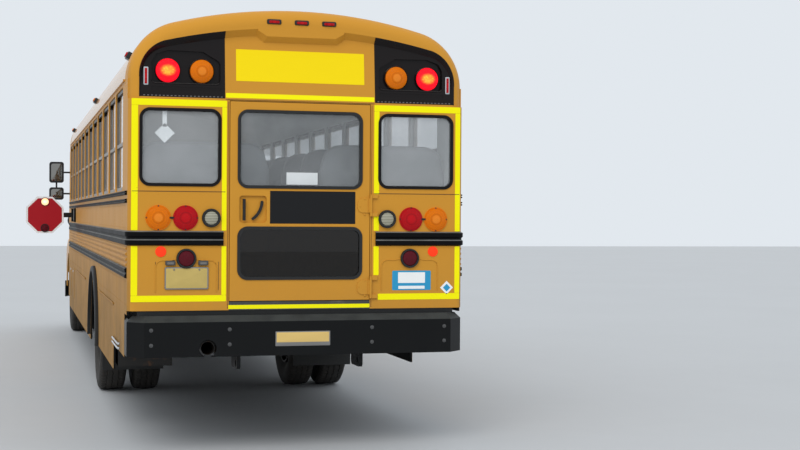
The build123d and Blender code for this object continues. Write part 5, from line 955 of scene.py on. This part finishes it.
plates = Piece()
bolt = slab(polygon(6, 0.012), 0.004, 0.001)
shade, pane = plate(0.070, 0.034, 0.008, 0.022, 0.005), plate(0.046, 0.016, 0.004, 0.004, 0.002)
for shape, x, y, z, tag in (
        (plate(0.305, 0.156, 0.010, 0.004, 0.001), 0.810, REAR + 0.004, 1.247, 0),
        (plate(0.288, 0.139, 0.008, 0.0022, 0.001), 0.810, REAR + 0.0075, 1.247, 1),
        (bolt, 0.722, REAR + 0.009, 1.308, 2), (bolt, 0.898, REAR + 0.009, 1.308, 2),
        (shade, 0.924, REAR, 1.354, 3), (pane, 0.924, REAR + 0.022, 1.352, 4),
        (shade, 0.695, REAR, 1.354, 3), (pane, 0.695, REAR + 0.022, 1.352, 4),
        (plate(0.396, 0.104, 0.004, 0.003, 0.001), -0.008, BUMPER, 0.818, 2),
        (plate(0.380, 0.070, 0.003, 0.0015, 0.0005), -0.008, BUMPER + 0.003, 0.828, 5)):
    plates.add(shape, (x, y, z), "rear", tag)
plates.make("blank_plates", "bolt_steel plate_cream bolt_steel worn_black clip_grey badge_gold")

# A rubber apron closes the gap between the body and the rear bumper
Piece().add(plate(2.30, 0.060, 0.004, 0.004), (0, REAR - 0.022, 0.992), "rear").make(
    "rear_apron", "black_rubber", slot="black_rubber")

# ---------------- body joints, rivets and bolts

joints = Piece()
for sign_x in (1, -1):
    joints.add(plate(0.652, 0.0045, 0.002, 0.0016), (sign_x * 0.866, REAR, 1.8545), "rear")
    joints.add(plate(0.003, 1.46, 0.001, 0.0014), (sign_x * 0.5225, REAR, 1.762), "rear")
joints.add(plate(1.078, 0.004, 0.001, 0.0012), (0, REAR - 0.001, 2.506), "rear")
for x in (0.586, 1.026):
    joints.add(plate(0.003, 0.20, 0.001, 0.0016), (x, REAR, 1.262), "rear")
joints.make("panel_joints", "joint_dark")

# Pressed beads round the lower panels: low ridges up one side and round the upper corner
BEAD_STEPS, BEAD_R, BEND = 40, 0.0035, 0.045
PANELS_APART = 1.626               # the two beads of a panel mirror each other about half of this
beads = Piece()
arc = [(0.600 + BEND * (1 - math.sin(a)), 1.372 - BEND * (1 - math.cos(a)))
       for a in np.linspace(math.pi / 2, 0, 6)]
bead = np.array([(0.600, 1.150), (0.600, 1.327), *arc, (0.700, 1.372), (0.745, 1.380)])
run = np.concatenate(([0], np.cumsum(np.linalg.norm(np.diff(bead, axis=0), axis=1))))
even = np.linspace(0, run[-1], BEAD_STEPS)
bead_x, bead_z = np.interp(even, run, bead[:, 0]), np.interp(even, run, bead[:, 1])
for sign_x in (1, -1):
    for x in (bead_x, PANELS_APART - bead_x):
        line = np.column_stack((sign_x * x, np.full(BEAD_STEPS, REAR + 0.0012), bead_z))
        beads.add(tube(line, BEAD_R, 10))
beads.make("pressed_beads", "yellow_paint", slot="yellow_paint")

RIVET = (0.0042, 0.0022)           # radius and height of the side and roof rivets' heads
ENTRANCE_END = -3.2                # the right side's rows end at the entrance
ARCH_HALF = 0.68                   # the rows leave out the rear wheels' arch
rivets = Piece().both(dots(row(0, np.arange(1.10, 2.46, 0.020)), 0.0028, 0.0016),
                      (0.5285, REAR, 0))
for z in (1.835, 1.878):
    rivets.both(dots(row(np.arange(-0.29, 0.2901, 0.0725), z), 0.0035, 0.002), (0.866, REAR, 0))
along = np.arange(BODY_FRONT + 0.06, REAR - 0.1, 0.11)
along = along[np.abs(along - REAR_AXLE) > ARCH_HALF]
for (side, sign_x), row_end, column_end in zip(HANDS, (BODY_FRONT, ENTRANCE_END - 0.05),
                                               (BODY_FRONT, ENTRANCE_END)):
    for z in (1.60, 1.752, 1.222, 1.06):
        rivets.add(dots(row(sign_x * along[along > row_end], z), *RIVET),
                   (sign_x * HALF, 0, 0), side)
    for y in np.arange(REAR - 0.44, column_end, -WINDOW_PITCH):
        rivets.add(dots(row(sign_x * y, np.arange(1.62, 1.75, 0.026)), *RIVET),
                   (sign_x * HALF, 0, 0), side)
# rivets of the roof's bows, along the crown's arc
crown_end = math.asin((HALF - CORNER_R) / (CROWN_R - CORNER_R))
for k in range(12):
    y = REAR - 0.76 - k * WINDOW_PITCH
    for angle in np.linspace(-crown_end, crown_end, 45):
        spot = (math.sin(angle) * CROWN_R, y, ROOF - CROWN_R + math.cos(angle) * CROWN_R)
        rivets.add(dots(((0, -0.014), (0, 0.014)), *RIVET, 6), spot, "up")
rivets.make("rivets", "yellow_paint", slot="yellow_paint")

bolts = Piece()
for x in (1.06, 0.515, -0.515, -1.06):
    for z in (0.890, 0.785):
        bolts.add(dish([(0.014, 0), (0.014, 0.002), (0.010, 0.003), (0.006, 0.005),
                        (0.0, 0.006)], 16), (x, BUMPER, z), "rear")
bolts.make("bumper_bolts", "worn_black")

HINGE_ROWS = ((1.836, 1.830), (1.704, 1.699), (1.243, 1.237), (1.111, 1.106))
for name, body, out, size, spots in (
        ("hinge_rivets", "rear_door", 0.006, (0.0065, 0.0035, 10),
         ((-0.473, 1.813), (-0.437, 1.760), (-0.471, 1.702), (-0.477, 1.225), (-0.430, 1.180),
          (-0.475, 1.115))),
        ("hinge_panel_bolts", "body", 0.0005, (0.0055, 0.003, 10),
         [spot for high, low in HINGE_ROWS for spot in ((-0.542, high), (-0.566, low))])):
    heads = Piece()
    for x, z in spots:
        heads.add(dots(((0, 0),), *size), (x, REAR + out, z), "rear")
    heads.make(name, "yellow_paint", body, "yellow_paint")

# ---------------- tyres

TYRE_R, RIM_R, TYRE_HALF = AXLE_Z, 0.286, 0.127
TREAD_HALF, TREAD_SHARE = 0.094, 0.62      # the tread's half width, and its share of the section
WHEEL_X, TWIN_X, TWIN_HALF = 1.040, 0.905, 0.159
GROOVES, GROOVE_DEPTH, GROOVE_WIDTH = (-0.36, 0.0, 0.36), 0.011, 0.022
GROOVE_WAVES, GROOVE_SWAY = 48, 0.03
SLOTS, SLOT_DEPTH, SLOT_SHARE, SLOT_BAND = 72, 0.007, 0.22, (0.42, 0.70)
WALL_START, WALL_SHARE, WALL_RIBS, RIB_HEIGHT = 0.74, 0.22, 6, 0.0015
NUT_CIRCLE = 0.143


def tyre_shape(centre_x):
    """A tyre: the section's radius and width as functions of one parameter, carried round the
    axle; the tread is cut by three wavy grooves and by slots at even steps, and the wall has
    fine ribs."""
    around, across = 288, 61
    t = np.linspace(-1, 1, across)
    edge = np.abs(t)
    on_tread = edge < TREAD_SHARE
    # down the wall: 0 at the shoulder, 1 at the rim
    s = np.clip((edge - TREAD_SHARE) / (1 - TREAD_SHARE), 0, 1)
    bulge = (TYRE_HALF - TREAD_HALF) * np.sin(np.pi * np.minimum(s * 1.15, 1)) ** 0.8
    wall_x = np.sign(t) * (TREAD_HALF + bulge - np.where(s > 0.87, (s - 0.87) * 0.17, 0))
    x = np.where(on_tread, t / TREAD_SHARE * TREAD_HALF, wall_x)
    shoulder = TYRE_R - 0.004
    r = np.where(on_tread, TYRE_R - 0.004 * (t / TREAD_SHARE) ** 2,
                 shoulder - (shoulder - RIM_R) * s**1.25)
    turn = np.linspace(0, 2 * np.pi, around, endpoint=False)
    tt, aa = np.meshgrid(t, turn)
    edge = np.abs(tt)
    radius = np.broadcast_to(r, tt.shape).copy()
    inside = edge < TREAD_SHARE * 0.98
    for place in GROOVES:
        sway = GROOVE_SWAY * np.sin(aa * GROOVE_WAVES)
        groove = np.exp(-((tt - place - sway) / GROOVE_WIDTH) ** 2)
        radius -= GROOVE_DEPTH * inside * groove
    step = np.mod(aa * SLOTS / (2 * np.pi) + 0.5 * np.sign(tt), 1.0)
    in_band = (edge > SLOT_BAND[0]) & (edge < SLOT_BAND[1])
    radius -= SLOT_DEPTH * ((step < SLOT_SHARE) & in_band)
    on_wall = np.clip((edge - WALL_START) / WALL_SHARE, 0, 1)
    ribs = np.sin(on_wall * np.pi * WALL_RIBS) * (edge > WALL_START)
    wide = np.clip(x + np.sign(tt) * RIB_HEIGHT * ribs, -TYRE_HALF, TYRE_HALF)
    points = np.stack((centre_x + wide, radius * np.cos(aa), radius * np.sin(aa)), 2)
    return points.reshape(-1, 3), [quads(around, across)]


for side, sign_x in HANDS:
    for wheel, tyre, tread, y, spots, nut_x in (
            ("front_wheel", "front_tyre", "front_tread", FRONT_AXLE, (WHEEL_X,), WHEEL_X + 0.087),
            ("rear_wheels", "rear_tyres", "rear_treads", REAR_AXLE,
             (TWIN_X - TWIN_HALF, TWIN_X + TWIN_HALF), TWIN_X + 0.012)):
        rubber, nuts = Piece(), Piece()
        for x in spots:
            rubber.add(tyre_shape(sign_x * x), (0, y, AXLE_Z))
        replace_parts(rubber.make(f"{side}_{tread}", "tyre_rubber", f"{side}_{wheel}",
                                "tyre_rubber", 40), f"{side}_{tyre}")
        for nut_y, nut_z in circle(NUT_CIRCLE, 10):
            nuts.add(slab(polygon(6, 0.033), 0.022, 0.004),
                     (sign_x * nut_x, y + nut_y, AXLE_Z + nut_z), side)
        nuts.make(f"{side}_{wheel}_nuts", "bolt_steel", f"{side}_{wheel}")

# ---------------- padded benches

SEAT_ROWS, SEAT_REAR, SEAT_FRONT = 12, 5.73, -3.33
SEAT_PITCH = (SEAT_REAR - SEAT_FRONT - 0.12) / SEAT_ROWS
CUSHION_TOP, BACK_TOP = FLOOR + 0.44, FLOOR + 1.13
CUSHION_WIDTH, BACK_WIDTH = 0.958, 0.955
BENCH_X = 0.187 + 0.48             # half the aisle and half a bench
DRIVER_X, DRIVER_Y, DRIVER_WIDTHS = 0.61, -3.18, (0.515, 0.500)
CORNER_REACH = 0.16                # how far the backs' upper corners are rounded
END_ROUND, END_SHRINK = 0.05, 0.034        # where a pad closes at its ends, and by how much
CUSHION, BACK = (0.435, 0.128), 0.088      # the cushion's depth and height, the back's thickness


def pad(width, section, swell):
    """A stuffed form: its side section carried across the width.  The section keeps its size but
    for a soft swell in the middle (a cosine) and closes at both ends along a quarter circle."""
    u = np.linspace(-1, 1, 26)
    from_end = np.clip((1 - np.abs(u)) * width / 2 / END_ROUND, 0, 1)
    close = np.sqrt(1 - (1 - from_end) ** 2)
    middle = section.mean(0)
    half = (section.max(0) - section.min(0)) / 2
    amounts = -END_SHRINK * (1 - close) + swell * np.cos(u * np.pi / 2).clip(0) ** 0.6
    return stack([(section - middle) * ((half + amount) / half) + middle for amount in amounts],
                 u * width / 2)


def bench_sections(back_y):
    """Side outlines in (y, z) of a bench's cushion and of its leaning back."""
    tall = BACK_TOP - CUSHION_TOP
    cushion = rounded(*CUSHION, 0.045, 5) + (back_y - 0.095 - 0.20, CUSHION_TOP - CUSHION[1] / 2)
    lean = rounded(BACK, tall + 0.12, 0.040, 5)
    lean[:, 0] += (lean[:, 1] + tall / 2) * 0.05 - 0.02
    return cushion, lean + (back_y - 0.075, (CUSHION_TOP + BACK_TOP) / 2 - 0.058)


def across_bus(shape, x):
    """Turns a pad's (y, z, across) coordinates into the bus's x, y, z."""
    points, groups = shape
    return np.stack((points[:, 2] + x, points[:, 0], points[:, 1]), 1), groups


def corner_drop(over):
    """How far a back's top comes down, along a circle, at a distance into its corner."""
    return CORNER_REACH - np.sqrt(np.maximum(CORNER_REACH**2 - over**2, 0))


benches, piping = Piece(), Piece()
for k in range(SEAT_ROWS):
    back_y = SEAT_REAR - SEAT_PITCH * k
    cushion, lean = bench_sections(back_y)
    for sign_x in (1, -1):
        x = sign_x * BENCH_X
        benches.add(across_bus(pad(CUSHION_WIDTH, cushion, 0.004), x))
        points, groups = across_bus(pad(BACK_WIDTH, lean, 0.004), x)
        over = np.clip(np.abs(points[:, 0] - x) - (BACK_WIDTH / 2 - CORNER_REACH), 0, CORNER_REACH)
        weight = np.clip((points[:, 2] - (BACK_TOP - 0.5)) / 0.5, 0, 1)
        points[:, 2] -= corner_drop(over) * weight
        benches.add((points, groups))
        u = np.linspace(-1, 1, 40)
        over = np.clip(np.abs(u) * 0.46 - (0.46 - CORNER_REACH), 0, CORNER_REACH)
        line = np.column_stack((x + u * 0.458, np.full(40, back_y - 0.042),
                                BACK_TOP - 0.006 - corner_drop(over) * 0.98))
        piping.add(tube(line, 0.005, 8))
for width, section in zip(DRIVER_WIDTHS, bench_sections(DRIVER_Y)):
    benches.add(across_bus(pad(width, section, 0.006), DRIVER_X))
seats = benches.make("padded_seats", "seat_vinyl", slot="seat_vinyl", smooth=60)
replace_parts(seats, "seats")
piping.make("seat_piping", "seat_seam")

# ---------------- stop arm and nose

SIGN_X, SIGN_Y, SIGN_Z = 1.595, -2.32, 1.68
octagon = polygon(8, 0.457, math.pi / 8)
sign = Piece()
for side, out in (("rear", 1), ("front", -1)):
    y = SIGN_Y + out * 0.006
    sign.add(slab(grow(octagon, -0.001), SHEET), (SIGN_X, y, SIGN_Z), side, 0)
    sign.add(slab(grow(octagon, -0.021), SHEET), (SIGN_X, y + out * SHEET, SIGN_Z), side, 1)
    for z, tag in ((0.165, 2), (-0.165, 3)):       # flat enough to clear the rails when folded
        spot = (SIGN_X, y + out * 2 * SHEET, SIGN_Z + z)
        sign.add(domed(0.046, 0.008, 0.004), spot, side, tag)
        sign.add(ring(0.045, 0.053, 0.008), spot, side, 4)
sign.make("stop_sign_faces", "sheet_white sign_red lit_lamp dark_red_lens black_rubber",
          "stop_arm", "sign_red")

# Bezels round the headlamps, turn lamps inboard of them, and a frame round the grille
fender_y, (grille_low, grille_high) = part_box("headlamps")[1][1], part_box("grille")
head_lamp, turn_lamp = (0.940, fender_y, 0.960), (0.762, fender_y, 0.960)
bezels = Piece().both(ring(0.094, 0.114, 0.016), head_lamp, "front")
bezels.both(ring(0.041, 0.052, 0.012), turn_lamp, "front")
opening = rounded(1.000, 0.430, 0.02)
bezels.add(hoop(grow(opening, -0.012), grow(opening, 0.014), 0.010),
           (0, grille_low[1], (grille_low[2] + grille_high[2]) / 2), "front")
bezels.make("nose_bezels", "chrome", "hood")
Piece().both(domed(0.042, 0.014, 0.008), turn_lamp, "front").make(
    "front_turn_lenses", "amber_lens", "hood", "amber_lens")

# ---------------- mirrors, markers and rails

glasses = Piece()
for z, height in ((2.271, 0.240), (1.976, 0.126)):
    glasses.both(plate(0.150, height, 0.03, 0.004, 0.002), (1.402, BODY_FRONT - 0.070, z))
glasses.make("mirror_glasses", "mirror_glass", slot="mirror_black")

# Marker lamps on the roof's corners, square to the corner's arc at their height
MARKER_RISE = 0.19         # over the eave
lift = math.asin(MARKER_RISE / CORNER_R)
markers = Piece()
for side, sign_x in HANDS:
    SIDES[f"{side} eave"] = ((0, sign_x, 0), (-sign_x * math.sin(lift), 0, math.cos(lift)),
                             (sign_x * math.cos(lift), 0, math.sin(lift)))
    for y, tag in ((5.50, 0), (1.38, 1), (-3.74, 1)):
        for width, height, thick, out, tint in ((0.110, 0.052, 0.030, -0.002, 2),
                                                (0.086, 0.034, 0.012, 0.0265, tag)):
            from_middle = HALF - CORNER_R + (CORNER_R + out) * math.cos(lift)
            spot = (sign_x * from_middle, y, EAVE + MARKER_RISE + out * math.sin(lift))
            markers.add(plate(width, height, 0.010, thick, 0.005), spot, f"{side} eave", tint)
markers.make("side_marker_lamps", "red_lens amber_lens mirror_shell", slot="red_lens")

guard = Piece()
for sign_x in (1, -1):
    wall, bar = sign_x * (HALF - 0.002), sign_x * (HALF + 0.012)
    for z in (0.735, 0.702):
        guard.add(tube(bar_path([(wall, REAR - 0.66, z), (bar, REAR - 0.68, z),
                                 (bar, REAR - 1.26, z), (wall, REAR - 1.28, z)]), 0.009))
guard.make("tail_guard_rails", "chrome")


# ---------------- wipers and lids

def shield_y(z):
    """The leaning windshield's outer face at a height."""
    return BODY_FRONT - 0.278 + (z - 1.76) * 0.1375


wipers = Piece()                   # an arm and a blade on each half of the windshield
for sign_x in (1, -1):
    joints_xz = ((0.66, 1.79, 0.004), (0.60, 1.86, 0.030), (0.30, 2.14, 0.024))    # x, z, stand-off
    arm = [(sign_x * x, shield_y(z) - out, z) for x, z, out in joints_xz]
    wipers.add(tube(bar_path(arm), 0.006, 10))
    x, z, _ = joints_xz[0]
    wipers.add(dish([(0.020, 0), (0.020, 0.018), (0.014, 0.026), (0.0, 0.028)], 20),
               (sign_x * x, shield_y(z) - 0.001, z), "front")
    x, z = np.linspace(0.50, 0.10, 14), np.linspace(1.90, 2.36, 14)
    blade = np.column_stack((sign_x * x, shield_y(z) - 0.010, z))
    wipers.add(tube(blade, 0.0075, 8), tag=1)
wipers.make("wipers", "black_paint black_rubber", slot="black_paint")

# Lids in the skirts: fuel filler on the right, battery and fuse lids on the left
LID_Z = 0.80
lids, latches = Piece(), Piece()
for side, sign_x, y, width, height in (("right", -1, -0.62, 0.22, 0.22),
                                       ("left", 1, -3.62, 0.56, 0.40),
                                       ("left", 1, -2.86, 0.56, 0.40)):
    lids.add(plate(width, height, 0.03, 0.0035, 0.0015), (sign_x * HALF, y, LID_Z), side)
    latches.add(plate(0.046, 0.030, 0.008, 0.006, 0.002),
                (sign_x * (HALF + 0.003), y, LID_Z + height / 2 - 0.05), side)
lids.make("skirt_lids", "yellow_paint", slot="yellow_paint")
latches.make("skirt_lid_latches", "chrome")

# ---------------- floor

FAR = 60
ground = bpy.data.meshes.new("ground")
ground.from_pydata([(-FAR, -FAR, 0), (FAR, -FAR, 0), (FAR, FAR, 0), (-FAR, FAR, 0)], [],
                   [(0, 1, 2, 3)])
ground.materials.append(FINISHES["pale_floor"])
put("ground", ground)
